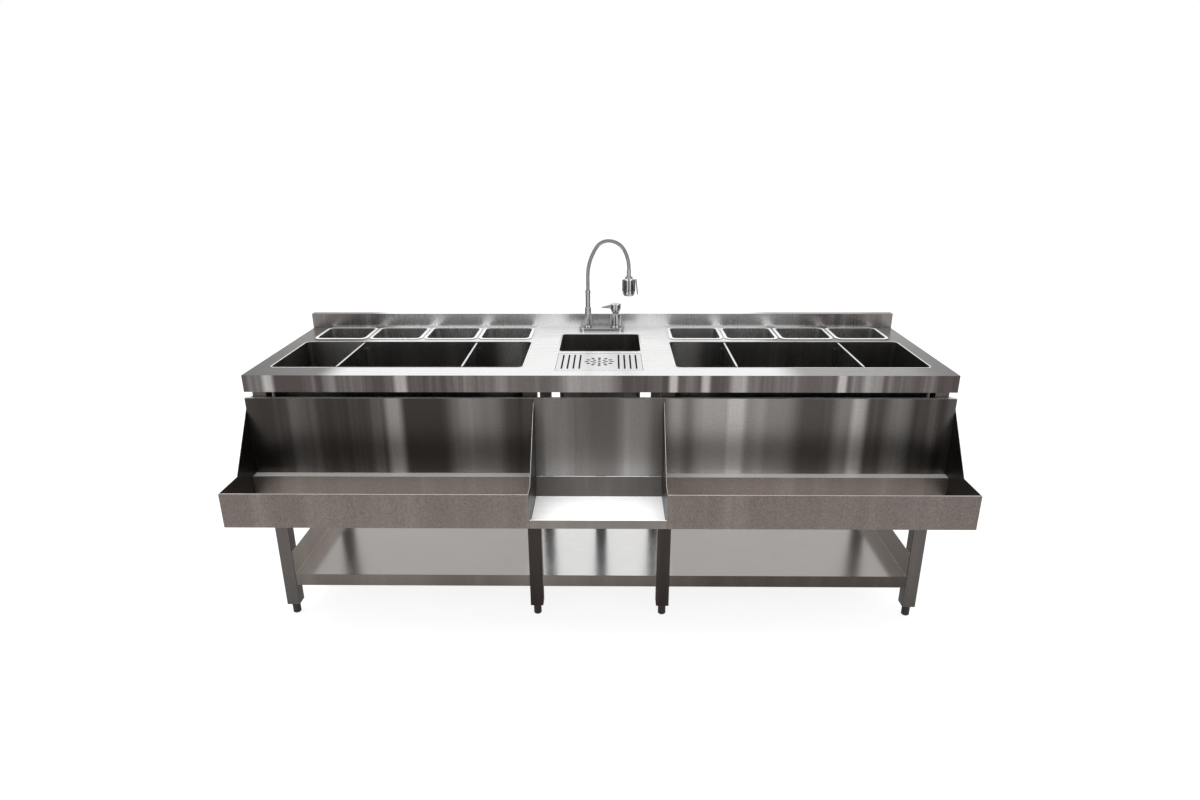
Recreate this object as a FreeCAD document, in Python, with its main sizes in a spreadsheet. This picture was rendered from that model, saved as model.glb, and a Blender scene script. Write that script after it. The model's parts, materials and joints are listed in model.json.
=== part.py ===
import FreeCAD, Part
import math
import os
from types import SimpleNamespace

import Sketcher
from FreeCAD import Placement, Rotation, Vector

# A free-standing bar station: a worktop with a sink, two insulated ice bins and
# two rows of garnish pans, on a frame with a lower shelf, and with bottle rails
# hung along its front.
#
# Sizes are in millimetres and degrees. "front", "back" and "line" places are
# measured from the front edge of the worktop towards the back, "outer",
# "inner" and "along" places from the middle of the station, and heights from
# the floor. The part's origin is on the floor under the middle of its
# footprint, +X to the right, +Y to the back, +Z up.
SIZES = {
    # worktop
    "top_length": 2000,
    "top_depth": 590,
    "top_height": 800,
    "top_sheet": 1.5,
    "apron_height": 49,
    "apron_return": 12,
    "upstand_height": 50,
    "upstand_depth": 25,
    # openings for the bins, the sink and the drainer
    "well_end": 49,
    "well_inner": 222,
    "well_front": 81,
    "well_pan_gap": 26,
    "well_corner": 14,
    "sink_half": 126,
    "sink_front": 257,
    "sink_tap_gap": 46,
    "sink_corner": 12,
    "sink_depth": 180,
    "bowl_sheet": 1.2,
    "bowl_lip": 10,
    "drainer_half": 126,
    "drainer_front": 52,
    "drainer_back": 231,
    "drainer_corner": 5,
    # insulated ice bins
    "bin_depth": 270,
    "bin_wall": 15,
    "bin_skin": 1.2,
    "bin_floor_fillet": 12,
    "outer_bay": 189,
    "inner_bay": 176,
    "divider_sheet": 2,
    "divider_hem": 6,
    "guide_reach": 10,
    "guide_width": 8,
    "guide_drop": 20,
    "false_bottom_rise": 24,
    "false_bottom_gap": 3,
    "bin_drain_radius": 22,
    "bin_drain_length": 70,
    # garnish pans
    "pan_end": 58,
    "pan_pitch": 180,
    "pan_length": 176,
    "pan_width": 160,
    "pan_back": 31,
    "pan_depth": 100,
    "pan_rim": 9,
    "pan_lip": 3,
    "pan_corner": 24,
    "pan_taper": 7,
    "pan_sheet": 1,
    # frame under the worktop
    "frame_height": 30,
    "frame_front": 21,
    "frame_front_width": 22,
    "frame_back_width": 24,
    "frame_cross_width": 20,
    "frame_sheet": 2,
    # legs and feet
    "leg_width": 40,
    "leg_wall": 1.5,
    "leg_corner": 3,
    "leg_end": 32,
    "leg_bay": 25,
    "leg_front": 41,
    "leg_back": 33,
    "leg_lift": 38,
    "leg_plug": 6,
    "foot_radius": 12,
    "foot_stem": 5,
    "foot_stem_length": 26,
    # lower shelf
    "shelf_height": 146,
    "shelf_lip": 39,
    "shelf_setback": 2,
    "shelf_sheet": 1.2,
    "shelf_end_height": 80,
    # bottle rails and the panels behind them
    "rail_reach": 216,
    "rail_overhang": 8,
    "rail_inner": 184,
    "rail_height": 100,
    "rail_back": 20,
    "rail_ledge": 63,
    "rail_sheet": 1.5,
    "rail_hem": 4,
    "rail_hem_height": 12,
    "cheek_sheet": 2,
    "cheek_drop": 10,
    "cheek_outer_foot": 111,
    "cheek_outer_front": 28,
    "cheek_outer_back": 60,
    "cheek_inner_foot": 56,
    "cheek_corner": 12,
    "panel_front": 8,
    "panel_gap": 21,
    "panel_height": 293,
    "panel_sheet": 1.5,
    # shelf between the rails
    "tray_lip": 25,
    "tray_rake_height": 53,
    "tray_gap": 0.5,
    # waste
    "waste_radius": 20,
    "waste_wall": 2,
    "waste_flange": 35,
    "trap_radius": 30,
    "waste_length": 30,
    "trap_height": 110,
    "trap_outlet_drop": 45,
    "trap_bend": 34,
    "drain_offset": 89.5,
    "drain_bottom": 70,
    "standpipe_radius": 14,
    "standpipe_height": 130,
    "drip_tray_depth": 32,
    "drip_ledge": 8,
    "drip_ledge_drop": 6,
    "drip_tail": 10,
    "drip_tail_length": 22,
    "grate_gap": 1,
    "grate_sheet": 2,
    "grate_slot_width": 5,
    "grate_slot_pitch": 17,
    "grate_rosette": 44,
    # tap
    "tap_back": 70,
    "tap_base_half": 78,
    "tap_base_width": 44,
    "tap_base_height": 14,
    "tap_shank": 10,
    "tap_shank_length": 20,
    "tap_inlet": 9,
    "tap_inlet_length": 25,
    "tap_nut": 17,
    "tap_nut_height": 8,
    "mixer_along": 50,
    "mixer_radius": 17.5,
    "mixer_column_height": 46,
    "mixer_pivot_rise": 16,
    "mixer_ball": 16,
    "mixer_stem": 10,
    "lever_cap": 18.5,
    "lever_reach": 47,
    "lever_width": 22,
    "spout_along": 43,
    "spout_radius": 11,
    "spout_height": 58,
    "spout_bore": 8,
    "collar_radius": 8.2,
    "collar_height": 68,
    # gooseneck hose and spray head
    "hose_radius": 6.8,
    "hose_bore": 4.5,
    "hose_groove": 0.9,
    "hose_ribs": 40,
    "hose_straight": 45,
    "hose_rise_radius": 170,
    "hose_rise_angle": 35,
    "hose_crown_radius": 46,
    "hose_shoulder_radius": 60,
    "hose_shoulder_angle": 61,
    "hose_fall_radius": 126,
    "spray_neck": 7.4,
    "spray_neck_length": 25,
    "spray_radius": 20.5,
    "spray_height": 61,
    "spray_lever_width": 13,
    "spray_lever_length": 46,
    "spray_lever_sheet": 3,
    "spray_pin": 1.5,
    # clearances
    "seat_gap": 0.3,
    "bore_gap": 0.05,
    "slide_gap": 0.8,
}

PANS_PER_SIDE = 4
SIDES = {"left": -1, "right": 1}

doc = FreeCAD.newDocument("bar_station")
sheet = doc.addObject("Spreadsheet::Sheet", "Sizes")
for row, (name, value) in enumerate(SIZES.items(), start=1):
    sheet.set(f"A{row}", name)
    sheet.set(f"B{row}", str(value))
    sheet.setAlias(f"B{row}", name)
doc.recompute()


def formula(value):
    """Write a value as the sheet expression that it came from."""
    return value.text if isinstance(value, Size) else f"({float(value):.9g})"


class Size(float):
    """A number that remembers how it is worked out from the sheet."""

    def __new__(cls, value, text):
        size = super().__new__(cls, value)
        size.text = text
        return size

    def __add__(self, other):
        return Size(float(self) + float(other), f"({self.text} + {formula(other)})")

    def __radd__(self, other):
        return Size(float(other) + float(self), f"({formula(other)} + {self.text})")

    def __sub__(self, other):
        return Size(float(self) - float(other), f"({self.text} - {formula(other)})")

    def __rsub__(self, other):
        return Size(float(other) - float(self), f"({formula(other)} - {self.text})")

    def __mul__(self, other):
        return Size(float(self) * float(other), f"({self.text} * {formula(other)})")

    __rmul__ = __mul__

    def __truediv__(self, other):
        return Size(float(self) / float(other), f"({self.text} / {formula(other)})")

    def __neg__(self):
        return Size(-float(self), f"(-{self.text})")


S = SimpleNamespace(**{name: Size(getattr(sheet, name), f"Sizes.{name}") for name in SIZES})

# ---------------------------------------------------------------- shared places
FRONT = (S.rail_reach - S.top_depth) / 2      # y of the worktop's front edge
TOP_END = S.top_length / 2
TOP_UNDERSIDE = S.top_height - S.top_sheet
PAN_LINE = S.top_depth - S.pan_back - S.pan_width / 2
TAP_LINE = S.top_depth - S.tap_back
TAP_DECK = S.top_height + S.tap_base_height
WELL_OUTER = TOP_END - S.well_end
WELL_BACK = PAN_LINE - S.pan_width / 2 - S.well_pan_gap
WELL_HALF_X = (WELL_OUTER - S.well_inner) / 2
WELL_HALF_Y = (WELL_BACK - S.well_front) / 2
WELL_ALONG = (WELL_OUTER + S.well_inner) / 2
WELL_LINE = (S.well_front + WELL_BACK) / 2
BIN_FLOOR = S.top_height - S.bin_depth
DIVIDER_OUTER = WELL_OUTER - S.outer_bay
DIVIDER_INNER = S.well_inner + S.inner_bay
ICE_ALONG = (DIVIDER_OUTER + DIVIDER_INNER) / 2
SINK_BACK = TAP_LINE - S.sink_tap_gap
SINK_LINE = (S.sink_front + SINK_BACK) / 2
SINK_FLOOR = S.top_height - S.sink_depth
TRAP_TOP = SINK_FLOOR - S.waste_length
TRAP_OUTLET = TRAP_TOP - S.trap_outlet_drop
DRAIN_LINE = SINK_LINE + S.drain_offset
LEG_TOP = TOP_UNDERSIDE - S.frame_height
LEG_OUTER = TOP_END - S.leg_end
LEG_INNER = S.well_inner - S.leg_bay
LEG_BACK = S.top_depth - S.leg_back
PANEL_TOP = S.top_height - S.apron_height - S.panel_gap
CHEEK_TOP = PANEL_TOP - S.cheek_drop
RAIL_OUTER = TOP_END + S.rail_overhang
RAIL_FLOOR = PANEL_TOP - S.panel_height
RAIL_RIM = RAIL_FLOOR + S.rail_height
RAIL_LEDGE = RAIL_FLOOR + S.rail_ledge
MIXER_TOP = TAP_DECK + S.mixer_column_height
MIXER_PIVOT = MIXER_TOP + S.mixer_pivot_rise
SPOUT_TOP = TAP_DECK + S.spout_height
COLLAR_TOP = SPOUT_TOP + S.collar_height

SUBPARTS = []


# ------------------------------------------------------------- modelling helpers
def place(thing, x=0, y=0, z=0):
    """Put a sub-part's own origin at a place bound to the sheet."""
    for axis, value in zip("xyz", (x, y, z)):
        thing.setExpression(f"Placement.Base.{axis}", formula(value))


def new_body(label, x=0, y=0, z=0):
    body = doc.addObject("PartDesign::Body", label)
    body.Label = label
    place(body, x, FRONT + y, z)
    SUBPARTS.append(body)
    return body


def sketch_in(body, role, offset=0):
    """Start a sketch on one of the body's own planes, moved along its normal."""
    sketch = body.newObject("Sketcher::SketchObject", body.Label + "_sketch")
    plane = next(f for f in body.Origin.OriginFeatures if f.Role == role)
    sketch.AttachmentSupport = (plane, [""])
    sketch.MapMode = "FlatFace"
    sketch.setExpression("AttachmentOffset.Base.z", formula(offset))
    return sketch


def fix(sketch, kind, value, *where):
    """Add one dimension to a sketch and bind it to the sheet."""
    number = sketch.addConstraint(Sketcher.Constraint(kind, *where, float(value)))
    sketch.setExpression(f"Constraints[{number}]", formula(value))


def fix_point(sketch, edge, end, x, y):
    fix(sketch, "DistanceX", x, -1, 1, edge, end)
    fix(sketch, "DistanceY", y, -1, 1, edge, end)


def outline(sketch, points):
    """Draw a closed outline of straight lines through the given points."""
    first = sketch.GeometryCount
    count = len(points)
    corners = [Vector(float(x), float(y), 0) for x, y in points]
    for index in range(count):
        line = Part.LineSegment(corners[index], corners[(index + 1) % count])
        sketch.addGeometry(line, False)
    for index in range(count):
        following = first + (index + 1) % count
        sketch.addConstraint(Sketcher.Constraint("Coincident", first + index, 2, following, 1))
    for index, (x, y) in enumerate(points):
        fix_point(sketch, first + index, 1, x, y)
    return sketch


def rectangle(sketch, x0, y0, x1, y1):
    return outline(sketch, [(x0, y0), (x1, y0), (x1, y1), (x0, y1)])


def rounded_rectangle(sketch, x0, y0, x1, y1, radius):
    """Draw a rectangle with equal round corners."""
    first = sketch.GeometryCount
    left, low, right, high, r = (float(v) for v in (x0, y0, x1, y1, radius))
    centres = [(right - r, low + r), (right - r, high - r), (left + r, high - r), (left + r, low + r)]
    sides = [
        ((left + r, low), (right - r, low)),
        ((right, low + r), (right, high - r)),
        ((right - r, high), (left + r, high)),
        ((left, high - r), (left, low + r)),
    ]
    for index, (start, end) in enumerate(sides):
        sketch.addGeometry(Part.LineSegment(Vector(*start, 0), Vector(*end, 0)), False)
        circle = Part.Circle(Vector(*centres[index], 0), Vector(0, 0, 1), r)
        turn = math.radians(90 * (index - 1))
        sketch.addGeometry(Part.ArcOfCircle(circle, turn, turn + math.pi / 2), False)
    for index in range(4):
        line = first + 2 * index
        arc = line + 1
        following = first + (2 * index + 2) % 8
        sketch.addConstraint(Sketcher.Constraint("Tangent", line, 2, arc, 1))
        sketch.addConstraint(Sketcher.Constraint("Tangent", arc, 2, following, 1))
        level = "Horizontal" if index % 2 == 0 else "Vertical"
        sketch.addConstraint(Sketcher.Constraint(level, line))
        fix(sketch, "Radius", radius, arc)
    fix(sketch, "DistanceY", y0, -1, 1, first, 1)
    fix(sketch, "DistanceX", x1, -1, 1, first + 2, 1)
    fix(sketch, "DistanceY", y1, -1, 1, first + 4, 1)
    fix(sketch, "DistanceX", x0, -1, 1, first + 6, 1)
    return sketch


def disc(sketch, x, y, radius):
    circle = Part.Circle(Vector(float(x), float(y), 0), Vector(0, 0, 1), float(radius))
    number = sketch.addGeometry(circle, False)
    fix_point(sketch, number, 3, x, y)
    fix(sketch, "Radius", radius, number)
    return sketch


def pad(body, sketch, length, midplane=False):
    feature = body.newObject("PartDesign::Pad", body.Label + "_pad")
    feature.Profile = sketch
    feature.setExpression("Length", formula(length))
    feature.SideType = "Symmetric" if midplane else "One side"
    return feature


def pocket(body, sketch, length, upwards=False):
    """Cut a sketch into the body, against its normal or along it."""
    feature = body.newObject("PartDesign::Pocket", body.Label + "_pocket")
    feature.Profile = sketch
    feature.setExpression("Length", formula(length))
    feature.Reversed = upwards
    return feature


def turn(body, points):
    """Turn an outline of (radius, height) points about the body's own z axis."""
    sketch = outline(sketch_in(body, "XZ_Plane"), points)
    feature = body.newObject("PartDesign::Revolution", body.Label + "_turned")
    feature.Profile = sketch
    feature.ReferenceAxis = (sketch, ["V_Axis"])
    feature.Angle = 360
    return feature


def loft(body, sketches, kind="PartDesign::AdditiveLoft"):
    feature = body.newObject(kind, body.Label + "_loft")
    feature.Profile = sketches[0]
    feature.Sections = sketches[1:]
    feature.Ruled = True
    return feature


def round_edges(body, feature, radius, wanted):
    """Fillet the edges of a feature whose middle point passes a test."""
    doc.recompute()
    names = []
    for number, edge in enumerate(feature.Shape.Edges, start=1):
        middle = edge.valueAt((edge.FirstParameter + edge.LastParameter) / 2)
        if wanted(middle, edge):
            names.append(f"Edge{number}")
    fillet = body.newObject("PartDesign::Fillet", body.Label + "_fillet")
    fillet.Base = (feature, names)
    fillet.setExpression("Radius", formula(radius))
    return fillet


def near(a, b):
    return abs(float(a) - float(b)) < 0.01


# ---------------------------------------------------------------------- worktop
def pan_along(number):
    """Distance of a pan's middle from the middle of the station."""
    outermost = TOP_END - S.pan_end - S.pan_length / 2
    return outermost - S.pan_pitch * (PANS_PER_SIDE - 1 - number)


def make_worktop():
    body = new_body("worktop")
    sheet_edge = S.top_sheet
    low = S.top_height - S.apron_height
    high = S.top_height + S.upstand_height
    step = S.top_depth - S.upstand_depth
    section = [
        (S.apron_return, low), (0, low), (0, S.top_height), (step, S.top_height),
        (step, high), (S.top_depth, high), (S.top_depth, low),
        (S.top_depth - S.apron_return, low),
        (S.top_depth - S.apron_return, low + sheet_edge),
        (S.top_depth - sheet_edge, low + sheet_edge),
        (S.top_depth - sheet_edge, high - sheet_edge),
        (step + sheet_edge, high - sheet_edge), (step + sheet_edge, TOP_UNDERSIDE),
        (sheet_edge, TOP_UNDERSIDE), (sheet_edge, low + sheet_edge),
        (S.apron_return, low + sheet_edge),
    ]
    pad(body, outline(sketch_in(body, "YZ_Plane"), section), S.top_length, midplane=True)
    end = [
        (0, low), (S.top_depth, low), (S.top_depth, high), (step, high),
        (step, S.top_height), (0, S.top_height),
    ]
    for start in (-TOP_END, TOP_END - sheet_edge):
        pad(body, outline(sketch_in(body, "YZ_Plane", start), end), sheet_edge)
    openings = sketch_in(body, "XY_Plane", S.top_height)
    for side in SIDES.values():
        near_x, far_x = sorted((side * S.well_inner, side * WELL_OUTER))
        rounded_rectangle(openings, near_x, S.well_front, far_x, WELL_BACK, S.well_corner)
    rounded_rectangle(openings, -S.sink_half, S.sink_front, S.sink_half, SINK_BACK, S.sink_corner)
    rounded_rectangle(openings, -S.drainer_half, S.drainer_front, S.drainer_half,
                      S.drainer_back, S.drainer_corner)
    hole = S.tap_shank + S.slide_gap
    disc(openings, -S.spout_along, TAP_LINE, hole)
    disc(openings, S.mixer_along, TAP_LINE, hole)
    pocket(body, openings, sheet_edge * 2)
    half_x = S.pan_length / 2 - S.pan_rim + S.slide_gap
    half_y = S.pan_width / 2 - S.pan_rim + S.slide_gap
    for side in SIDES.values():
        seats = sketch_in(body, "XY_Plane", S.top_height)
        for number in range(PANS_PER_SIDE):
            middle = side * pan_along(number)
            rounded_rectangle(seats, middle - half_x, PAN_LINE - half_y, middle + half_x,
                              PAN_LINE + half_y, S.pan_corner - S.pan_rim + S.slide_gap)
        pocket(body, seats, sheet_edge * 2)


def make_top_frame():
    """Channels, open below, that stiffen the worktop and stand on the legs."""
    body = new_body("top_frame")
    outer = LEG_OUTER + S.leg_width / 2
    back = LEG_BACK + S.leg_width / 2
    cross = LEG_INNER - S.leg_width / 2 + S.frame_sheet
    fronts = S.frame_front + S.frame_front_width
    backs = back - S.frame_back_width
    windows = [
        (-outer + S.frame_cross_width, -cross - S.frame_cross_width),
        (-cross, cross),
        (cross + S.frame_cross_width, outer - S.frame_cross_width),
    ]

    def ring(sketch, inset):
        rectangle(sketch, -outer + inset, S.frame_front + inset, outer - inset, back - inset)
        for left, right in windows:
            rectangle(sketch, left - inset, fronts - inset, right + inset, backs + inset)
        return sketch

    pad(body, ring(sketch_in(body, "XY_Plane", LEG_TOP), 0), S.frame_height)
    hollow = ring(sketch_in(body, "XY_Plane", LEG_TOP), S.frame_sheet)
    pocket(body, hollow, S.frame_height - S.frame_sheet, upwards=True)


# ----------------------------------------------------------------- legs and feet
def leg_places():
    """Name each leg and give its place along the station and its line."""
    for row, line in (("front", S.leg_front), ("rear", LEG_BACK)):
        for side, sign in SIDES.items():
            yield f"{row}_{side}_end", sign * LEG_OUTER, line
            yield f"{row}_{side}_mid", sign * LEG_INNER, line


def make_leg(name, x, line):
    """A square tube with a plug in its lower end that takes the foot's stem."""
    body = new_body("leg_" + name, x, line, S.leg_lift)
    half = S.leg_width / 2
    length = LEG_TOP - S.leg_lift
    skin = rounded_rectangle(sketch_in(body, "XY_Plane"), -half, -half, half, half, S.leg_corner)
    pad(body, skin, length)
    inside = half - S.leg_wall
    bore = rectangle(sketch_in(body, "XY_Plane", S.leg_plug), -inside, -inside, inside, inside)
    pocket(body, bore, length, upwards=True)
    stem = disc(sketch_in(body, "XY_Plane"), 0, 0, S.foot_stem + S.bore_gap)
    pocket(body, stem, S.leg_plug * 2, upwards=True)


def make_foot(name, x, line):
    """A levelling foot: a pad, a collared sleeve and a stem that goes into the leg."""
    body = new_body("foot_" + name, x, line)
    shoulder = S.leg_lift - S.seat_gap
    top = shoulder + S.foot_stem_length
    turn(body, [
        (0, 0), (S.foot_radius - 2, 0), (S.foot_radius, 2), (S.foot_radius, shoulder - 10),
        (S.foot_radius + 2, shoulder - 6), (S.foot_radius + 2, shoulder), (S.foot_stem, shoulder),
        (S.foot_stem, top - 1), (S.foot_stem - 1, top), (0, top),
    ])


def make_lower_shelf():
    """A folded shelf between the legs, with an upstand at each end."""
    body = new_body("lower_shelf")
    half = S.leg_width / 2
    length = 2 * (LEG_OUTER - half)
    thick = S.shelf_sheet
    front = S.leg_front - half + S.shelf_setback
    back = LEG_BACK + half - S.shelf_setback
    top = S.shelf_height
    low = top - S.shelf_lip
    section = [
        (front + S.apron_return, low), (front, low), (front, top), (back, top), (back, low),
        (back - S.apron_return, low), (back - S.apron_return, low + thick),
        (back - thick, low + thick), (back - thick, top - thick), (front + thick, top - thick),
        (front + thick, low + thick), (front + S.apron_return, low + thick),
    ]
    pad(body, outline(sketch_in(body, "YZ_Plane"), section), length, midplane=True)
    for start in (-length / 2, length / 2 - thick):
        end = sketch_in(body, "YZ_Plane", start)
        pad(body, rectangle(end, front, low, back, top + S.shelf_end_height), thick)
    notches = sketch_in(body, "XY_Plane", top)
    for sign in SIDES.values():
        middle = sign * LEG_INNER
        for line in (S.leg_front, LEG_BACK):
            rectangle(notches, middle - half, line - half, middle + half, line + half)
    disc(notches, 0, DRAIN_LINE, S.waste_radius + 3)
    pocket(body, notches, S.shelf_lip)


# --------------------------------------------------------------------- ice bins
def make_ice_bin(side, sign):
    """A double-skinned tub with room for foam, and guides for its two dividers."""
    body = new_body("ice_bin_" + side, sign * WELL_ALONG, WELL_LINE, TOP_UNDERSIDE)
    inner_depth = S.bin_depth - S.top_sheet
    outer_depth = inner_depth + S.bin_wall

    def block(depth, grow):
        x, y = WELL_HALF_X + grow, WELL_HALF_Y + grow
        return rounded_rectangle(sketch_in(body, "XY_Plane", -depth), -x, -y, x, y,
                                 S.well_corner + grow)

    def drain_disc(depth, radius):
        return disc(sketch_in(body, "XY_Plane", -depth), sign * (ICE_ALONG - WELL_ALONG), 0, radius)

    pad(body, block(outer_depth, S.bin_wall), outer_depth)
    jacket = S.bin_wall - S.bin_skin
    pocket(body, block(0, jacket), outer_depth - S.bin_skin)
    pad(body, drain_disc(outer_depth, S.bin_drain_radius + S.bin_wall), S.bin_wall)
    pad(body, block(inner_depth + S.bin_skin, S.bin_skin), inner_depth + S.bin_skin)
    hollow = pocket(body, block(0, 0), inner_depth)
    floor = -float(inner_depth)
    round_edges(body, hollow, S.bin_floor_fillet,
                lambda middle, edge: near(middle.z, floor) and near(edge.BoundBox.ZLength, 0))
    pocket(body, drain_disc(inner_depth, S.bin_drain_radius), S.bin_wall * 2)
    guides = sketch_in(body, "XY_Plane", -inner_depth + S.bin_floor_fillet)
    slot = S.divider_sheet / 2 + S.slide_gap
    for place_along in (DIVIDER_INNER, DIVIDER_OUTER):
        middle = sign * (place_along - WELL_ALONG)
        for flank in (-1, 1):
            edges = (middle + flank * slot, middle + flank * (slot + S.guide_width))
            near_x, far_x = sorted(edges)
            reach = WELL_HALF_Y - S.guide_reach
            rectangle(guides, near_x, reach, far_x, WELL_HALF_Y + S.bin_skin / 2)
            rectangle(guides, near_x, -WELL_HALF_Y - S.bin_skin / 2, far_x, -reach)
    pad(body, guides, inner_depth - S.bin_floor_fillet - S.guide_drop)


def make_divider(label, x):
    """A lift-out partition with a folded top edge and cut lower corners."""
    body = new_body(label, x, WELL_LINE)
    half = WELL_HALF_Y - S.slide_gap
    low = BIN_FLOOR + S.seat_gap
    corner = S.bin_floor_fillet
    skin = sketch_in(body, "YZ_Plane")
    outline(skin, [
        (-half + corner, low), (half - corner, low), (half, low + corner),
        (half, S.top_height), (-half, S.top_height), (-half, low + corner),
    ])
    pad(body, skin, S.divider_sheet, midplane=True)
    hem_half = WELL_HALF_Y - S.well_corner
    hem = sketch_in(body, "YZ_Plane")
    hem_low = S.top_height - S.guide_drop / 2
    rectangle(hem, -hem_half, hem_low, hem_half, S.top_height)
    pad(body, hem, S.divider_hem, midplane=True)


def make_false_bottom(side, sign):
    """A slotted plate on two folded feet that keeps the ice out of its melt water."""
    body = new_body("bin_false_bottom_" + side, sign * ICE_ALONG, WELL_LINE, BIN_FLOOR)
    half_x = (DIVIDER_OUTER - DIVIDER_INNER) / 2 - S.divider_hem / 2 - S.false_bottom_gap
    half_y = WELL_HALF_Y - S.false_bottom_gap
    notch_x = half_x - S.guide_width
    notch_y = half_y - S.guide_reach
    top = S.false_bottom_rise
    plate = sketch_in(body, "XY_Plane", top - S.grate_sheet)
    outline(plate, [
        (-notch_x, -half_y), (notch_x, -half_y), (notch_x, -notch_y), (half_x, -notch_y),
        (half_x, notch_y), (notch_x, notch_y), (notch_x, half_y), (-notch_x, half_y),
        (-notch_x, notch_y), (-half_x, notch_y), (-half_x, -notch_y), (-notch_x, -notch_y),
    ])
    pad(body, plate, S.grate_sheet)
    foot_y = notch_y - S.bin_floor_fillet
    feet = sketch_in(body, "XY_Plane", S.seat_gap)
    rectangle(feet, -half_x, -foot_y, -half_x + S.grate_sheet, foot_y)
    rectangle(feet, half_x - S.grate_sheet, -foot_y, half_x, foot_y)
    pad(body, feet, top - S.seat_gap)
    slot = sketch_in(body, "XY_Plane", top)
    columns, rows = 4, 8
    pitch_x = notch_x * 2 / columns
    pitch_y = notch_y * 2 / rows
    rectangle(slot, -notch_x + pitch_x / 6, -notch_y + pitch_y / 3,
              -notch_x + pitch_x * 5 / 6, -notch_y + pitch_y * 2 / 3)
    cut = pocket(body, slot, S.grate_sheet * 2)
    grid = body.newObject("PartDesign::LinearPattern", body.Label + "_slots")
    grid.Originals = [cut]
    grid.Direction = (slot, ["H_Axis"])
    grid.setExpression("Length", formula(pitch_x * (columns - 1)))
    grid.Occurrences = columns
    grid.Direction2 = (slot, ["V_Axis"])
    grid.setExpression("Length2", formula(pitch_y * (rows - 1)))
    grid.Occurrences2 = rows
    body.Tip = grid


def make_bin_drain(side, sign):
    """A flanged outlet with a tail for the melt water."""
    body = new_body("bin_drain_" + side, sign * ICE_ALONG, WELL_LINE, BIN_FLOOR)
    outside = S.bin_drain_radius - S.bore_gap
    tail = outside - 6
    under = -S.bin_wall
    turn(body, [
        (tail - S.waste_wall, 0), (outside, 0), (outside, under), (outside + 8, under),
        (outside + 8, under - 4), (tail, under - 4), (tail, -S.bin_drain_length),
        (tail - S.waste_wall, -S.bin_drain_length),
    ])


# ------------------------------------------------------------------ garnish pans
def make_pan(side, sign, number):
    """A drawn pan: tapered walls, round corners and a flat rim with a lip."""
    body = new_body(f"garnish_pan_{side}_{number + 1}", sign * pan_along(number), PAN_LINE,
                    S.top_height + S.seat_gap)
    thick = S.pan_sheet
    rim_x = S.pan_length / 2
    rim_y = S.pan_width / 2
    mouth_x = rim_x - S.pan_rim
    mouth_y = rim_y - S.pan_rim
    mouth_corner = S.pan_corner - S.pan_rim

    def ring(height, inset):
        x, y = mouth_x - inset, mouth_y - inset
        return rounded_rectangle(sketch_in(body, "XY_Plane", height), -x, -y, x, y, mouth_corner)

    loft(body, [ring(0, 0), ring(-S.pan_depth, S.pan_taper)])
    rim = rounded_rectangle(sketch_in(body, "XY_Plane"), -rim_x, -rim_y, rim_x, rim_y, S.pan_corner)
    brim = pad(body, rim, S.pan_lip)
    round_edges(body, brim, S.pan_lip * 0.6,
                lambda middle, edge: near(middle.z, S.pan_lip) and abs(middle.z) > 0.5)
    loft(body, [ring(S.pan_lip, thick), ring(-S.pan_depth + thick, S.pan_taper + thick)],
         "PartDesign::SubtractiveLoft")


# -------------------------------------------------------------- sink and drainer
def make_sink_bowl():
    """A pressed bowl with a flat lip that lies under the worktop."""
    body = new_body("sink_bowl", 0, SINK_LINE, TOP_UNDERSIDE)
    half_x = S.sink_half
    half_y = (SINK_BACK - S.sink_front) / 2
    thick = S.bowl_sheet
    depth = S.sink_depth - S.top_sheet
    skin = sketch_in(body, "XY_Plane", -depth - thick)
    rounded_rectangle(skin, -half_x - thick, -half_y - thick, half_x + thick, half_y + thick,
                      S.sink_corner + thick)
    pad(body, skin, depth + thick)
    inside = sketch_in(body, "XY_Plane")
    rounded_rectangle(inside, -half_x, -half_y, half_x, half_y, S.sink_corner)
    hollow = pocket(body, inside, depth)
    floor = -float(depth)
    soft = round_edges(body, hollow, S.sink_corner * 0.9,
                       lambda middle, edge: near(middle.z, floor) and near(edge.BoundBox.ZLength, 0))
    base = -float(depth + thick)
    round_edges(body, soft, S.sink_corner * 0.9 + thick,
                lambda middle, edge: near(middle.z, base) and near(edge.BoundBox.ZLength, 0))
    lip = sketch_in(body, "XY_Plane", -thick)
    rounded_rectangle(lip, -half_x - S.bowl_lip, -half_y - S.bowl_lip, half_x + S.bowl_lip,
                      half_y + S.bowl_lip, S.sink_corner)
    rounded_rectangle(lip, -half_x, -half_y, half_x, half_y, S.sink_corner)
    pad(body, lip, thick)
    hole = disc(sketch_in(body, "XY_Plane", -depth), 0, 0, S.waste_radius + S.bore_gap)
    pocket(body, hole, thick * 4)


def make_sink_waste():
    """The bowl's outlet: a flange in the bowl, a seat for the standpipe and a tail."""
    body = new_body("sink_waste", 0, SINK_LINE, SINK_FLOOR)
    under = -S.bowl_sheet
    bore = S.standpipe_radius + S.seat_gap
    tail = S.waste_radius
    low = TRAP_TOP - SINK_FLOOR
    turn(body, [
        (bore, 0), (bore + 3, 2), (S.waste_flange - 2, 2), (S.waste_flange, 0), (tail, 0),
        (tail, under), (S.waste_flange - 4, under), (S.waste_flange - 4, under - 5),
        (tail, under - 7), (tail, low), (bore, low),
    ])


def make_standpipe():
    """The lift-out overflow pipe that stops the sink's outlet."""
    body = new_body("sink_standpipe", 0, SINK_LINE, SINK_FLOOR)
    outside = S.standpipe_radius
    inside = outside - S.waste_wall
    turn(body, [
        (inside, -12), (outside, -12), (outside, 4), (outside + 3.4, 4), (outside + 3.4, 8),
        (outside, 12), (outside, S.standpipe_height - 6), (outside + 2, S.standpipe_height),
        (inside, S.standpipe_height),
    ])


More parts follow.
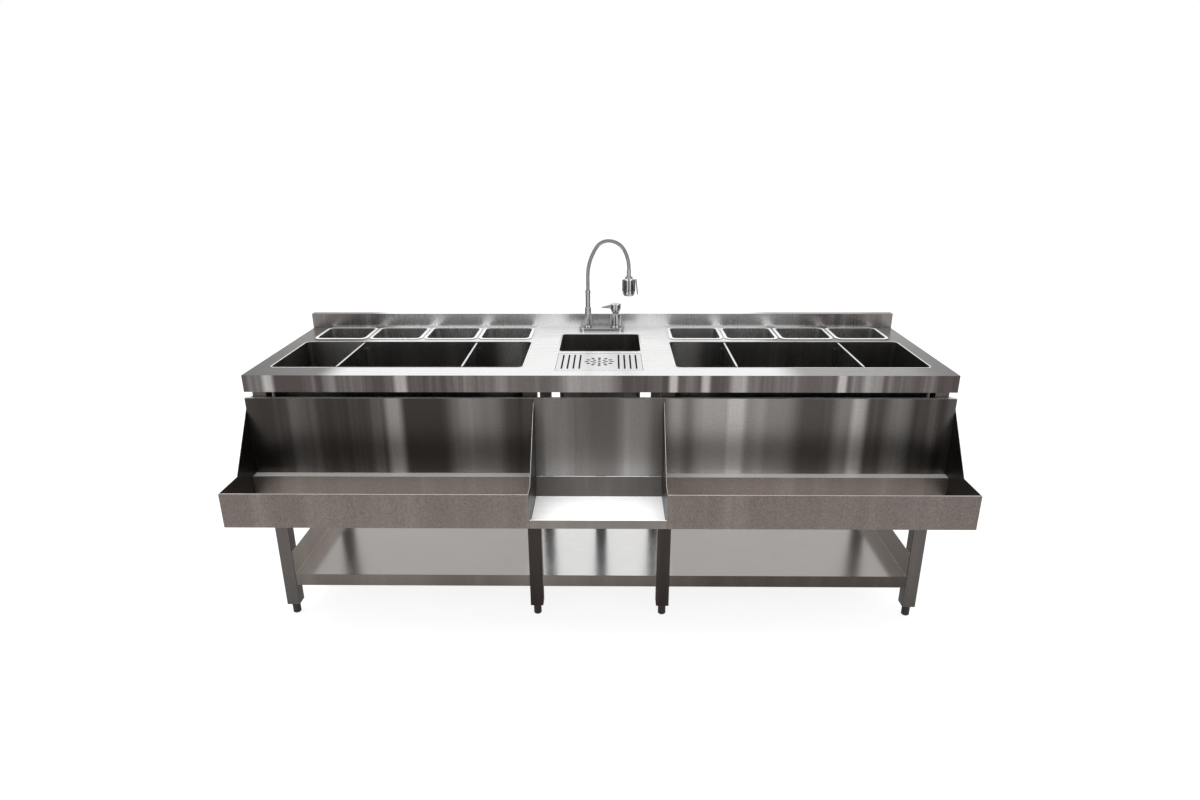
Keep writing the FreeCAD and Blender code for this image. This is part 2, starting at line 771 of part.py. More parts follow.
def swept_tube(body, points, bend, radius, kind="PartDesign::AdditivePipe"):
    """Sweep a round section along level and upright runs joined by one bend."""
    (x0, z0), (x1, z1), (x2, z2) = points
    spine = sketch_in(body, "YZ_Plane")
    centre = Vector(float(x1 - bend), float(z1 - bend), 0)
    spine.addGeometry(Part.LineSegment(Vector(float(x0), float(z0), 0),
                                       Vector(float(x1 - bend), float(z1), 0)), False)
    arc = Part.ArcOfCircle(Part.Circle(centre, Vector(0, 0, 1), float(bend)), 0, math.pi / 2)
    spine.addGeometry(arc, False)
    spine.addGeometry(Part.LineSegment(Vector(float(x1), float(z1 - bend), 0),
                                       Vector(float(x2), float(z2), 0)), False)
    spine.addConstraint(Sketcher.Constraint("Tangent", 0, 2, 1, 2))
    spine.addConstraint(Sketcher.Constraint("Tangent", 1, 1, 2, 1))
    fix_point(spine, 0, 1, x0, z0)
    fix(spine, "DistanceY", z1, -1, 1, 0, 2)
    fix(spine, "Radius", bend, 1)
    fix_point(spine, 2, 2, x2, z2)
    spine.addConstraint(Sketcher.Constraint("Vertical", 2))
    section = disc(sketch_in(body, "XZ_Plane", -x0), 0, z0, radius)
    pipe = body.newObject(kind, body.Label + "_pipe")
    pipe.Profile = section
    pipe.Spine = (spine, ["Edge1", "Edge2", "Edge3"])
    return pipe


def make_waste_trap():
    """A bottle trap under the sink with an elbow that turns down to the drain."""
    body = new_body("waste_trap", 0, SINK_LINE)
    top = TRAP_TOP
    low = top - S.trap_height
    neck = S.waste_radius + 5
    turn(body, [
        (0, low - 8), (S.trap_radius - 12, low - 8), (S.trap_radius - 8, low), (S.trap_radius, low + 6),
        (S.trap_radius, top - 34), (neck, top - 24), (neck, top), (0, top),
    ])
    far = DRAIN_LINE - SINK_LINE
    swept_tube(body, [(0, TRAP_OUTLET), (far, TRAP_OUTLET), (far, low)], S.trap_bend,
               S.waste_radius + 3)


def make_drain_pipe():
    """The straight pipe from the trap's elbow through the lower shelf to the gully."""
    length = TRAP_TOP - S.trap_height - S.drain_bottom
    skin = doc.addObject("Part::Cylinder", "drain_pipe_skin")
    skin.setExpression("Radius", formula(S.waste_radius))
    skin.setExpression("Height", formula(length))
    bore = doc.addObject("Part::Cylinder", "drain_pipe_bore")
    bore.setExpression("Radius", formula(S.waste_radius - S.waste_wall))
    bore.setExpression("Height", formula(length))
    pipe = doc.addObject("Part::Cut", "drain_pipe")
    pipe.Base = skin
    pipe.Tool = bore
    pipe.Label = "drain_pipe"
    place(pipe, 0, FRONT + DRAIN_LINE, S.drain_bottom)
    SUBPARTS.append(pipe)


def make_drip_tray():
    """The shallow tray under the grate, with a ledge that carries it."""
    line = (S.drainer_front + S.drainer_back) / 2
    body = new_body("drip_tray", 0, line, S.top_height)
    half_x = S.drainer_half
    half_y = (S.drainer_back - S.drainer_front) / 2
    thick = S.bowl_sheet
    lap = S.drip_ledge - thick
    deep = S.drip_tray_depth
    skin = sketch_in(body, "XY_Plane", -deep - thick)
    rounded_rectangle(skin, -half_x - thick, -half_y - thick, half_x + thick, half_y + thick,
                      S.drainer_corner + thick)
    pad(body, skin, deep + thick - S.top_sheet)
    mouth = sketch_in(body, "XY_Plane", -S.top_sheet)
    rounded_rectangle(mouth, -half_x, -half_y, half_x, half_y, S.drainer_corner)
    pocket(body, mouth, S.drip_ledge_drop - S.top_sheet)
    well = sketch_in(body, "XY_Plane", -S.drip_ledge_drop)
    rounded_rectangle(well, -half_x + lap, -half_y + lap, half_x - lap, half_y - lap,
                      S.drainer_corner)
    pocket(body, well, deep - S.drip_ledge_drop)
    spout = disc(sketch_in(body, "XY_Plane", -deep - thick), 0, 0, S.drip_tail)
    tail = pad(body, spout, S.drip_tail_length)
    tail.Reversed = True
    hole = disc(sketch_in(body, "XY_Plane", -deep), 0, 0, S.drip_tail - S.waste_wall)
    pocket(body, hole, S.drip_tail_length * 2)


def make_drain_grate():
    """The lift-out grate: slots from front to back and a rosette in the middle."""
    line = (S.drainer_front + S.drainer_back) / 2
    body = new_body("drain_grate", 0, line, S.top_height)
    half_x = S.drainer_half - S.grate_gap
    half_y = (S.drainer_back - S.drainer_front) / 2 - S.grate_gap
    edge = S.drip_ledge_drop - S.seat_gap
    thick = S.grate_sheet
    corner = S.drainer_corner - S.grate_gap
    skin = sketch_in(body, "XY_Plane", -edge)
    rounded_rectangle(skin, -half_x, -half_y, half_x, half_y, corner)
    pad(body, skin, edge)
    under = sketch_in(body, "XY_Plane", -edge)
    rectangle(under, -half_x + thick * 2, -half_y + thick * 2, half_x - thick * 2, half_y - thick * 2)
    pocket(body, under, edge - thick, upwards=True)
    slots = sketch_in(body, "XY_Plane")
    half_slot = S.grate_slot_width / 2
    reach = half_y - thick * 7
    first = half_x - S.grate_slot_pitch
    for sign in SIDES.values():
        for number in range(4):
            middle = sign * (first - S.grate_slot_pitch * number)
            rounded_rectangle(slots, middle - half_slot, -reach, middle + half_slot, reach,
                              half_slot * 0.98)
    pocket(body, slots, thick * 2)
    for share, width, count in ((1.0, 9, 12), (0.6, 7, 8)):
        petal = sketch_in(body, "XY_Plane")
        outer = S.grate_rosette * share
        rounded_rectangle(petal, outer - 13, -width / 2, outer, width / 2, width * 0.49)
        cut = pocket(body, petal, thick * 2)
        ring = body.newObject("PartDesign::PolarPattern", body.Label + "_ring")
        ring.Originals = [cut]
        ring.Axis = (petal, ["N_Axis"])
        ring.Angle = 360
        ring.Occurrences = count
        body.Tip = ring
    eye = disc(sketch_in(body, "XY_Plane"), 0, 0, S.grate_slot_width)
    pocket(body, eye, thick * 2)


# ------------------------------------------------------------------------ the tap
def make_tap_base():
    """The cast bar that joins mixer and spout, with two shanks and their inlet tails."""
    body = new_body("tap_base", 0, TAP_LINE, S.top_height)
    middle = (S.mixer_along - S.spout_along) / 2
    half_y = S.tap_base_width / 2
    skin = sketch_in(body, "XY_Plane")
    rounded_rectangle(skin, middle - S.tap_base_half, -half_y, middle + S.tap_base_half, half_y,
                      half_y * 0.98)
    block = pad(body, skin, S.tap_base_height)
    round_edges(body, block, 3, lambda point, edge: near(point.z, S.tap_base_height))
    runs = ((S.tap_shank, 0, S.tap_shank_length),
            (S.tap_inlet, S.tap_shank_length, S.tap_inlet_length))
    for radius, depth, length in runs:
        sketch = sketch_in(body, "XY_Plane", -depth)
        for along in (-S.spout_along, S.mixer_along):
            disc(sketch, along, 0, radius)
        tails = pad(body, sketch, length)
        tails.Reversed = True


def make_tap_backnuts():
    """Two nuts that clamp the tap to the worktop from below."""
    nuts = []
    for number, along in enumerate((-S.spout_along, S.mixer_along), start=1):
        hexagon = doc.addObject("Part::Prism", f"tap_nut_{number}_hexagon")
        hexagon.Polygon = 6
        hexagon.setExpression("Circumradius", formula(S.tap_nut))
        hexagon.setExpression("Height", formula(S.tap_nut_height))
        bore = doc.addObject("Part::Cylinder", f"tap_nut_{number}_bore")
        bore.setExpression("Radius", formula(S.tap_shank + S.bore_gap))
        bore.setExpression("Height", formula(S.tap_nut_height))
        nut = doc.addObject("Part::Cut", f"tap_nut_{number}")
        nut.Base = hexagon
        nut.Tool = bore
        place(nut, along, 0, 0)
        nuts.append(nut)
    pair = doc.addObject("Part::Compound", "tap_backnuts")
    pair.Links = nuts
    pair.Label = "tap_backnuts"
    place(pair, 0, FRONT + TAP_LINE, TOP_UNDERSIDE - S.tap_nut_height)
    SUBPARTS.append(pair)


def make_mixer_body():
    """The mixer's column, bored for its cartridge, and its two inlet tails."""
    body = new_body("mixer_body", S.mixer_along, TAP_LINE, TAP_DECK)
    radius = S.mixer_radius
    top = MIXER_TOP - TAP_DECK
    bore = S.mixer_stem + S.bore_gap
    turn(body, [
        (0, 0), (radius + 3, 0), (radius + 3, 3), (radius, 7), (radius, top - 2),
        (radius - 2, top), (bore, top), (bore, top - 22), (0, top - 22),
    ])


def make_mixer_cartridge():
    """The ball that turns in the column and carries the lever, turned in bands."""
    body = new_body("mixer_cartridge", S.mixer_along, TAP_LINE, MIXER_TOP)
    centre = S.mixer_pivot_rise
    stem = S.mixer_stem
    bands = [math.radians(angle) for angle in (-52, -31, -10, 11, 32, 53, 74)]
    ball = [(S.mixer_ball * math.cos(angle), centre + S.mixer_ball * math.sin(angle))
            for angle in bands]
    turn(body, [(0, -20), (stem, -20), (stem, 2), (ball[0][0], 2)] + ball + [(0, ball[-1][1])])


def make_mixer_lever():
    """A cap over the cartridge's ball with a flat paddle to the left."""
    body = new_body("mixer_lever", S.mixer_along, TAP_LINE, MIXER_PIVOT)
    cap = S.lever_cap
    inner = S.mixer_ball + S.seat_gap * 2
    high = inner + 3
    turn(body, [
        (0, 1), (cap, 1), (cap, high - 5), (cap - 2, high - 1.5), (cap - 5, high), (0, high),
    ])
    paddle = sketch_in(body, "XZ_Plane")
    outline(paddle, [
        (-S.lever_reach, 6), (-cap + 4, 4), (0, 4), (0, high - 1), (-cap + 4, high - 1),
        (-S.lever_reach, 9.5),
    ])
    pad(body, paddle, S.lever_width, midplane=True)
    hollow = body.newObject("PartDesign::SubtractiveSphere", body.Label + "_socket")
    hollow.setExpression("Radius", formula(inner))


def make_spout_pillar():
    """The post that the spout turns in."""
    body = new_body("spout_pillar", -S.spout_along, TAP_LINE, TAP_DECK)
    top = SPOUT_TOP - TAP_DECK
    radius = S.spout_radius
    bore = S.spout_bore + S.bore_gap
    turn(body, [
        (0, 0), (radius + 4, 0), (radius + 4, 3), (radius, 7), (radius, top - 1), (radius - 1, top),
        (bore, top), (bore, top - 24), (0, top - 24),
    ])


def make_spout_collar():
    """The sleeve that turns on the pillar and holds the lower end of the hose."""
    body = new_body("spout_collar", -S.spout_along, TAP_LINE, SPOUT_TOP)
    top = COLLAR_TOP - SPOUT_TOP
    sleeve = S.collar_radius
    inside = S.hose_bore
    gap = S.seat_gap
    turn(body, [
        (inside, -22), (S.spout_bore, -22), (S.spout_bore, gap), (S.spout_radius, gap),
        (S.spout_radius, 8), (sleeve, 11), (sleeve, top - 12), (sleeve + 0.8, top - 10),
        (sleeve + 0.8, top - 2), (sleeve, top), (inside, top),
    ])


def hose_path():
    """The gooseneck as runs of (radius, angle); a radius of None is straight."""
    crown_angle = 90 - float(S.hose_rise_angle)
    fall_angle = 90 - float(S.hose_shoulder_angle)
    return [
        (None, float(S.hose_straight)),
        (float(S.hose_rise_radius), float(S.hose_rise_angle)),
        (float(S.hose_crown_radius), crown_angle),
        (float(S.hose_shoulder_radius), float(S.hose_shoulder_angle)),
        (float(S.hose_fall_radius), fall_angle),
    ]


def hose_length():
    return sum(size if radius is None else radius * math.radians(size)
               for radius, size in hose_path())


def hose_point(distance):
    """Place and direction of the hose's middle line at a distance from its start."""
    x, z, heading = 0.0, 0.0, math.pi / 2
    for radius, size in hose_path():
        length = size if radius is None else radius * math.radians(size)
        step = min(distance, length)
        if radius is None:
            x += step * math.cos(heading)
            z += step * math.sin(heading)
        else:
            after = heading - step / radius
            x += radius * (math.sin(heading) - math.sin(after))
            z -= radius * (math.cos(heading) - math.cos(after))
            heading = after
        distance -= step
        if distance <= 1e-9:
            break
    return Vector(x, 0, z), Vector(math.cos(heading), 0, math.sin(heading))


def hose_circle(distance, radius):
    """A ring round the hose whose seam stays on one side of the hose's plane."""
    place_at, direction = hose_point(distance)
    edge = Part.Edge(Part.Circle(Vector(0, 0, 0), Vector(0, 0, 1), radius))
    across = Vector(0, 1, 0)
    turned = Rotation(across, direction.cross(across) * -1, direction, "ZXY")
    edge.Placement = Placement(place_at, turned)
    return Part.Wire([edge])


def make_spout_hose():
    """The ribbed metal gooseneck, with its bore."""
    length = hose_length()
    ribs = int(S.hose_ribs)
    straight = 2 * float(S.hose_radius)
    pitch = (length - 2 * straight) / ribs
    crest = float(S.hose_radius)
    groove = crest - float(S.hose_groove)
    rings = [(0.0, groove)]
    for rib in range(ribs):
        begin = straight + rib * pitch
        rings += [(begin, groove), (begin + pitch * 0.15, crest), (begin + pitch * 0.6, crest),
                  (begin + pitch * 0.75, groove)]
    rings.append((length, groove))
    outside = Part.makeLoft([hose_circle(at, radius) for at, radius in rings], True, True)
    steps = 40
    bore_rings = [hose_circle(length * step / steps, float(S.hose_bore))
                  for step in range(steps + 1)]
    bore = Part.makeLoft(bore_rings, True, True)
    hose = doc.addObject("Part::Feature", "spout_hose")
    hose.Shape = outside.cut(bore)
    hose.Label = "spout_hose"
    place(hose, -S.spout_along, FRONT + TAP_LINE, COLLAR_TOP)
    SUBPARTS.append(hose)


def make_spray_head():
    """The swivelling spray head: neck, collar, body and face, with lever lugs."""
    end = hose_point(hose_length())[0]
    body = new_body("spray_head", -S.spout_along + end.x, TAP_LINE, COLLAR_TOP + end.z)
    neck = S.spray_neck
    radius = S.spray_radius
    shoulder = -S.spray_neck_length
    low = shoulder - S.spray_height
    turn(body, [
        (0, -S.seat_gap), (neck - 1, -S.seat_gap), (neck, -2), (neck, -15), (neck - 0.8, -16),
        (neck - 0.8, -18), (neck + 0.6, -20), (neck + 0.6, shoulder), (13, shoulder),
        (13, shoulder - 6), (radius - 2.5, shoulder - 9), (radius - 0.5, shoulder - 12),
        (radius - 0.5, shoulder - 40), (radius - 1.3, shoulder - 41), (radius - 1.3, shoulder - 43),
        (radius, shoulder - 44), (radius, low + 4), (radius - 3, low), (radius - 5, low),
        (radius - 5, low + 2), (0, low + 2),
    ])
    lug = sketch_in(body, "XZ_Plane")
    pin_x = radius + 3
    pin_z = shoulder - 13
    rectangle(lug, radius - 4, pin_z - 4, pin_x + 3, pin_z + 4)
    pad(body, lug, S.spray_lever_width + 4, midplane=True)
    gap = rectangle(sketch_in(body, "XZ_Plane"), radius - 0.4, pin_z - 5, pin_x + 4, pin_z + 5)
    slot = pocket(body, gap, S.spray_lever_width - 3)
    slot.SideType = "Symmetric"
    hole = disc(sketch_in(body, "XZ_Plane"), pin_x, pin_z, S.spray_pin + S.bore_gap)
    bore = pocket(body, hole, S.spray_lever_width + 10)
    bore.SideType = "Symmetric"


def make_spray_lever():
    """The thumb lever on the side of the spray head, with its pin."""
    end = hose_point(hose_length())[0]
    pin_x = S.spray_radius + 3
    pin_z = -S.spray_neck_length - 13
    body = new_body("spray_lever", -S.spout_along + end.x + pin_x, TAP_LINE,
                    COLLAR_TOP + end.z + pin_z)
    thick = S.spray_lever_sheet
    low = -S.spray_lever_length
    blade = sketch_in(body, "XZ_Plane")
    outline(blade, [
        (-thick / 2, -2), (thick / 2, 3), (thick / 2 + 1.2, 3), (thick + 5, low + 4),
        (thick + 4, low), (thick + 1, low),
    ])
    pad(body, blade, S.spray_lever_width - 4, midplane=True)
    barrel = disc(sketch_in(body, "XZ_Plane"), 0, 0, S.spray_pin * 1.8)
    pad(body, barrel, S.spray_lever_width - 4, midplane=True)
    pin = disc(sketch_in(body, "XZ_Plane"), 0, 0, S.spray_pin)
    pad(body, pin, S.spray_lever_width + 4, midplane=True)


# ------------------------------------------------- bottle rails, panels and shelf
def make_bottle_rail(side, sign):
    """A folded trough for bottles, closed by a shaped cheek at each end."""
    body = new_body("bottle_rail_" + side)
    front, back, face = -S.rail_reach, -S.rail_back, S.panel_front
    floor, rim, ledge = RAIL_FLOOR, RAIL_RIM, RAIL_LEDGE
    thick = S.rail_sheet
    near_x, far_x = sorted((sign * S.rail_inner, sign * RAIL_OUTER))
    trough = outline(sketch_in(body, "YZ_Plane", near_x), [
        (face, ledge), (back, ledge), (back, floor + thick), (front + thick, floor + thick),
        (front + thick, rim - S.rail_hem_height), (front + S.rail_hem, rim - S.rail_hem_height),
        (front + S.rail_hem, rim), (front, rim), (front, floor), (back + thick, floor),
        (back + thick, ledge - thick), (face, ledge - thick),
    ])
    pad(body, trough, far_x - near_x)
    foot = front + S.cheek_outer_foot
    outer_start = sign * RAIL_OUTER if sign < 0 else RAIL_OUTER - S.cheek_sheet
    outer = outline(sketch_in(body, "YZ_Plane", outer_start), [
        (front, floor), (front, rim), (foot, rim), (S.cheek_outer_front, CHEEK_TOP),
        (S.cheek_outer_back, CHEEK_TOP), (S.cheek_outer_back, floor),
    ])
    plate = pad(body, outer, S.cheek_sheet)
    corner = float(S.cheek_outer_front)
    round_edges(body, plate, S.cheek_corner,
                lambda middle, edge: near(middle.y, corner) and near(middle.z, CHEEK_TOP)
                and edge.BoundBox.XLength > 0.5)
    inner_start = sign * S.rail_inner if sign > 0 else -S.rail_inner - S.cheek_sheet
    inner = outline(sketch_in(body, "YZ_Plane", inner_start), [
        (front, floor), (front, rim), (front + S.cheek_inner_foot, rim), (face, CHEEK_TOP),
        (face, floor),
    ])
    pad(body, inner, S.cheek_sheet)


def make_panel(label, near_x, far_x, low):
    """A front panel folded back to the legs along its top and bottom."""
    body = new_body(label)
    face, legs = S.panel_front, S.leg_front - S.leg_width / 2
    thick, top = S.panel_sheet, PANEL_TOP
    section = outline(sketch_in(body, "YZ_Plane", near_x), [
        (face, low), (face, top), (legs, top), (legs, top - thick), (face + thick, top - thick),
        (face + thick, low + thick), (legs, low + thick), (legs, low),
    ])
    pad(body, section, far_x - near_x)


def make_centre_shelf():
    """The shelf between the rails: lipped in front and raked up to the panel behind."""
    body = new_body("centre_shelf")
    front, back, face = -S.rail_reach, -S.rail_back, S.panel_front
    thick, floor = S.rail_sheet, RAIL_FLOOR
    lip, rake = floor + S.tray_lip, floor + S.tray_rake_height
    section = outline(sketch_in(body, "YZ_Plane"), [
        (front, floor), (back, floor), (face, rake - thick), (face, rake),
        (face - thick, rake), (back - thick / 2, floor + thick), (front + thick, floor + thick),
        (front + thick, lip - S.rail_hem_height), (front + S.rail_hem, lip - S.rail_hem_height),
        (front + S.rail_hem, lip), (front, lip),
    ])
    pad(body, section, 2 * (S.rail_inner - S.tray_gap), midplane=True)


# ------------------------------------------------------------------ the assembly
make_worktop()
make_top_frame()
for leg_name, leg_x, leg_line in leg_places():
    make_leg(leg_name, leg_x, leg_line)
    make_foot(leg_name, leg_x, leg_line)
make_lower_shelf()
for side, sign in SIDES.items():
    make_ice_bin(side, sign)
    make_divider(f"bin_divider_{side}_outer", sign * DIVIDER_OUTER)
    make_divider(f"bin_divider_{side}_inner", sign * DIVIDER_INNER)
    make_false_bottom(side, sign)
    make_bin_drain(side, sign)
    for number in range(PANS_PER_SIDE):
        make_pan(side, sign, number)
    make_bottle_rail(side, sign)
    panel_edges = sorted((sign * S.rail_inner, sign * (RAIL_OUTER - S.cheek_sheet)))
    make_panel("front_panel_" + side, panel_edges[0], panel_edges[1], RAIL_FLOOR)
make_panel("centre_panel", -S.rail_inner, S.rail_inner, RAIL_FLOOR + S.tray_rake_height)
make_centre_shelf()
make_sink_bowl()
make_sink_waste()
make_standpipe()
make_waste_trap()
make_drain_pipe()
make_drip_tray()
make_drain_grate()
make_tap_base()
make_tap_backnuts()
make_mixer_body()
make_mixer_cartridge()
make_mixer_lever()
make_spout_pillar()
make_spout_collar()
make_spout_hose()
make_spray_head()
make_spray_lever()
doc.recompute()

broken = [thing.Label for thing in doc.Objects if {"Invalid", "Error"} & set(thing.State)]
for part in SUBPARTS:
    if part.Shape.isNull() or not part.Shape.isValid():
        broken.append(part.Label)
if broken:
    raise RuntimeError("these objects failed: " + ", ".join(broken))

os.makedirs("parts", exist_ok=True)
for part in SUBPARTS:
    part.Shape.exportStep(f"parts/{part.Label}.step")
print(len(SUBPARTS), "sub-parts written; hose length", round(hose_length(), 1), "mm")
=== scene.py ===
# %% [markdown]
# # Dressing a bar station
# The real object is a long worktop of folded stainless steel with a sink, two ice
# bins and two rows of garnish pans. It stands on eight square legs, with a shelf
# below and bottle rails along the front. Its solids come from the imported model. This
# lesson gives them soft folds and brushed, polished and moulded finishes, adds the
# polished seams, a finely ribbed gooseneck and the rubber parts of the spray head,
# and sets the whole in a studio before a camera.

# %% Load the solids
import json
import math

import bpy
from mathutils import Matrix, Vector


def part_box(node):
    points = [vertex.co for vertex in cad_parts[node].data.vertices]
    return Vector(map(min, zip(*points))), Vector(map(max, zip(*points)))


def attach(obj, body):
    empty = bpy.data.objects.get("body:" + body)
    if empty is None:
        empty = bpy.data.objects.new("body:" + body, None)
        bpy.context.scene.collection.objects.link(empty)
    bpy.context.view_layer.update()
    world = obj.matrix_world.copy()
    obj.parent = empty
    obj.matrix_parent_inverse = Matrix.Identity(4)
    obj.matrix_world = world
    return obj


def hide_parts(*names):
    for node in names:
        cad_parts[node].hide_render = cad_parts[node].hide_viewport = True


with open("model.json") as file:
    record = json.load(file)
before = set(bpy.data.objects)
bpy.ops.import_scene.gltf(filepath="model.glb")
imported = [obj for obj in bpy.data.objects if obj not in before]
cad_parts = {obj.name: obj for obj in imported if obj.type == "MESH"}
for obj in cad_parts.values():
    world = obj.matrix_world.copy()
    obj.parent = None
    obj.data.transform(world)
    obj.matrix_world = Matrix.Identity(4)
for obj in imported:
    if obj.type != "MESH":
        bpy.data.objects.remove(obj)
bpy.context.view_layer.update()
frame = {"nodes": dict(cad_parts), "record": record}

# %% [markdown]
# ## The camera
# The photograph was taken from about 0.6 m above the worktop and two metres in front
# of it, with a wide lens. The place and the tilt were found by matching the corners of
# the worktop, the rails and the legs. The lens is shifted a little, because the
# picture's middle lies some twenty pixels above the point that the lens looked at.

# %% Camera
IMAGE_WIDTH = 1200
FOCAL_PIXELS = 772.7
SHIFT_PIXELS = 21.7
FILM_WIDTH = 36.0
CAMERA_PLACE = (0.0319, -2.2444, 1.4274)
CAMERA_TURN = (69.63, 0.17, 0.73)
bpy.ops.object.select_all(action="DESELECT")
bpy.ops.object.camera_add(location=CAMERA_PLACE,
                          rotation=[math.radians(angle) for angle in CAMERA_TURN])
camera = bpy.context.object
camera.data.sensor_width = FILM_WIDTH
camera.data.lens = FILM_WIDTH * FOCAL_PIXELS / IMAGE_WIDTH
camera.data.shift_y = SHIFT_PIXELS / IMAGE_WIDTH
camera.data.clip_end = 200.0
bpy.context.scene.camera = camera
print("lens", round(camera.data.lens, 2), "mm")

# %% [markdown]
# ## Finishes as sums
# A brushed sheet is one colour with fine scratches and cloudy wear; here it also
# carries painted smears of reflected light.
# Node trees for that grow long when each node is placed by hand. So one small class
# holds a socket and turns plain sums into Math nodes, and a second wires a tree and
# adds any node from its type, its settings and what feeds its sockets. A third starts
# a material, so that the sky of the studio can use the second one too.

# %% A socket that takes part in sums
class Strand:
    """A number, colour or vector on its way through a node tree."""

    def __init__(self, wiring, socket):
        self.wiring = wiring
        self.socket = socket

    def maths(self, operation, *operands):
        return self.wiring.node("ShaderNodeMath", {"operation": operation},
                                dict(enumerate(operands)))

    def __add__(self, other):
        return self.maths("ADD", self, other)

    __radd__ = __add__

    def __sub__(self, other):
        return self.maths("SUBTRACT", self, other)

    def __rsub__(self, other):
        return self.maths("SUBTRACT", other, self)

    def __mul__(self, other):
        return self.maths("MULTIPLY", self, other)

    __rmul__ = __mul__

    def __abs__(self):
        return self.maths("ABSOLUTE", self)


# %% A tree that is wired from code
class Wiring:
    """A node tree, emptied and ready for its nodes."""

    def __init__(self, tree):
        self.tree = tree
        self.tree.nodes.clear()

    def node(self, kind, settings=None, sockets=None, out=0):
        made = self.tree.nodes.new(kind)
        for name, value in (settings or {}).items():
            if name == "stops":
                ends = made.color_ramp.elements
                while len(ends) < len(value):
                    ends.new(0.5)
                for end, (position, grey) in zip(ends, value):
                    end.position = position
                    end.color = (grey, grey, grey, 1)
            else:
                setattr(made, name, value)
        for key, value in (sockets or {}).items():
            if isinstance(value, Strand):
                self.tree.links.new(value.socket, made.inputs[key])
            else:
                made.inputs[key].default_value = value
        return Strand(self, made.outputs[out])

    def show(self, shader, kind="ShaderNodeOutputMaterial"):
        end = self.tree.nodes.new(kind)
        self.tree.links.new(shader.socket, end.inputs["Surface"])

    def axes(self, vector):
        """The three numbers of a vector."""
        split = self.node("ShaderNodeSeparateXYZ", {}, {0: vector})
        return [Strand(self, socket) for socket in split.socket.node.outputs]

    def stretch(self, vector, amounts):
        return self.node("ShaderNodeVectorMath", {"operation": "MULTIPLY"},
                         {0: vector, 1: amounts})

    def noise(self, vector, scale, detail=2.0, roughness=0.5):
        return self.node("ShaderNodeTexNoise", {},
                         {"Vector": vector, "Scale": scale, "Detail": detail,
                          "Roughness": roughness})

    def levels(self, value, stops):
        return self.node("ShaderNodeValToRGB", {"stops": stops}, {0: value})

    def smooth_step(self, value, begin, end, low=0.0, high=1.0):
        return self.node("ShaderNodeMapRange", {"interpolation_type": "SMOOTHSTEP"},
                         {0: value, 1: begin, 2: end, 3: low, 4: high})

    def blend(self, amount, one, two):
        return self.node("ShaderNodeMix", {"data_type": "RGBA"},
                         {0: amount, 6: one, 7: two}, out=2)


class Finish(Wiring):
    """The node tree of a new material."""

    def __init__(self, name):
        self.material = bpy.data.materials.new(name)
        self.material.use_nodes = True
        super().__init__(self.material.node_tree)

    def place(self):
        return self.node("ShaderNodeTexCoord", out="Object")

    def facing(self):
        return self.node("ShaderNodeNewGeometry", out="Normal")

    def bumps(self, height, strength, distance):
        return self.node("ShaderNodeBump", {},
                         {"Strength": strength, "Distance": distance, "Height": height})

    def surface(self, **sockets):
        names = {key.replace("_", " "): value for key, value in sockets.items()}
        self.show(self.node("ShaderNodeBsdfPrincipled", {}, names))
        return self.material


def opaque(colour, amount=1.0):
    """A colour, lighter or darker by an amount, with its alpha."""
    return tuple(channel * amount for channel in colour) + (1.0,)


print("helpers ready")

# %% [markdown]
# ## Brushed steel
# Rolled sheet is brushed: the scratches are a fraction of a millimetre wide and many
# centimetres long. On upright faces they run up and down, and spread what stands in
# front into soft upright bands of light; here those bands are painted into the colour
# as reflections. A face that looks up catches the sky and is far paler; here level
# faces get a paler painted colour. A noise stretched along the scratches gives the
# streaks, once for upright and once for level faces. A wide one gives the faint painted
# smears of reflected light, a fine one the specks and a slow one the cloudy wear of
# wiping. The direction in which a face looks tells upright from level, so that one
# finish serves a whole folded sheet.

# %% How fine the brushing is
UPRIGHT_GRAIN = (230, 230, 1.2)
LEVEL_GRAIN = {"X": (1.2, 240, 240), "Y": (240, 1.2, 240)}
SPECK_GRAIN = (360, 360, 240)
SCRATCH_NOISE = (3.0, 3.0, 0.7)
SPECK_NOISE = (1.0, 2.0, 0.6)
# The wide noise paints the faint smears of reflected light into the colour.
REFLECTION_SMEAR_NOISE = (1.0, 3.0, 0.6)
CLOUD_NOISE = (4.5, 4.0, 0.6)
REFLECTION_SMEAR_STOPS = [(0.44, 0.0), (0.56, 0.3), (0.70, 1.0)]
SCRATCH_BUMP, SCRATCH_DEPTH = 0.35, 0.0002
CLOUD_TONE, SCRATCH_TONE, UNEVEN_SHINE = 0.16, 0.24, 0.14
LEVEL = (0.4, 0.9)
# How far a face must look inwards to get its painted shade or light.
INWARDS = (-0.05, -0.15)


def scratches(finish, moved, up, run):
    """Scratches that stand on upright faces and lie along X or Y on level ones."""
    streak = finish.noise(finish.stretch(moved, UPRIGHT_GRAIN), *SCRATCH_NOISE)
    stroke = finish.noise(finish.stretch(moved, LEVEL_GRAIN[run]), *SCRATCH_NOISE)
    return streak + up * (stroke - streak)


def light_bands(finish, across, bands):
    """The painted reflection light that soft upright bands add, each with its place, half width
    and strength.
    """
    light = 0.0
    for place, half_width, strength in bands:
        away = abs(across - place)
        light = light + finish.smooth_step(away, half_width * 0.25, half_width, strength, 0.0)
    return light
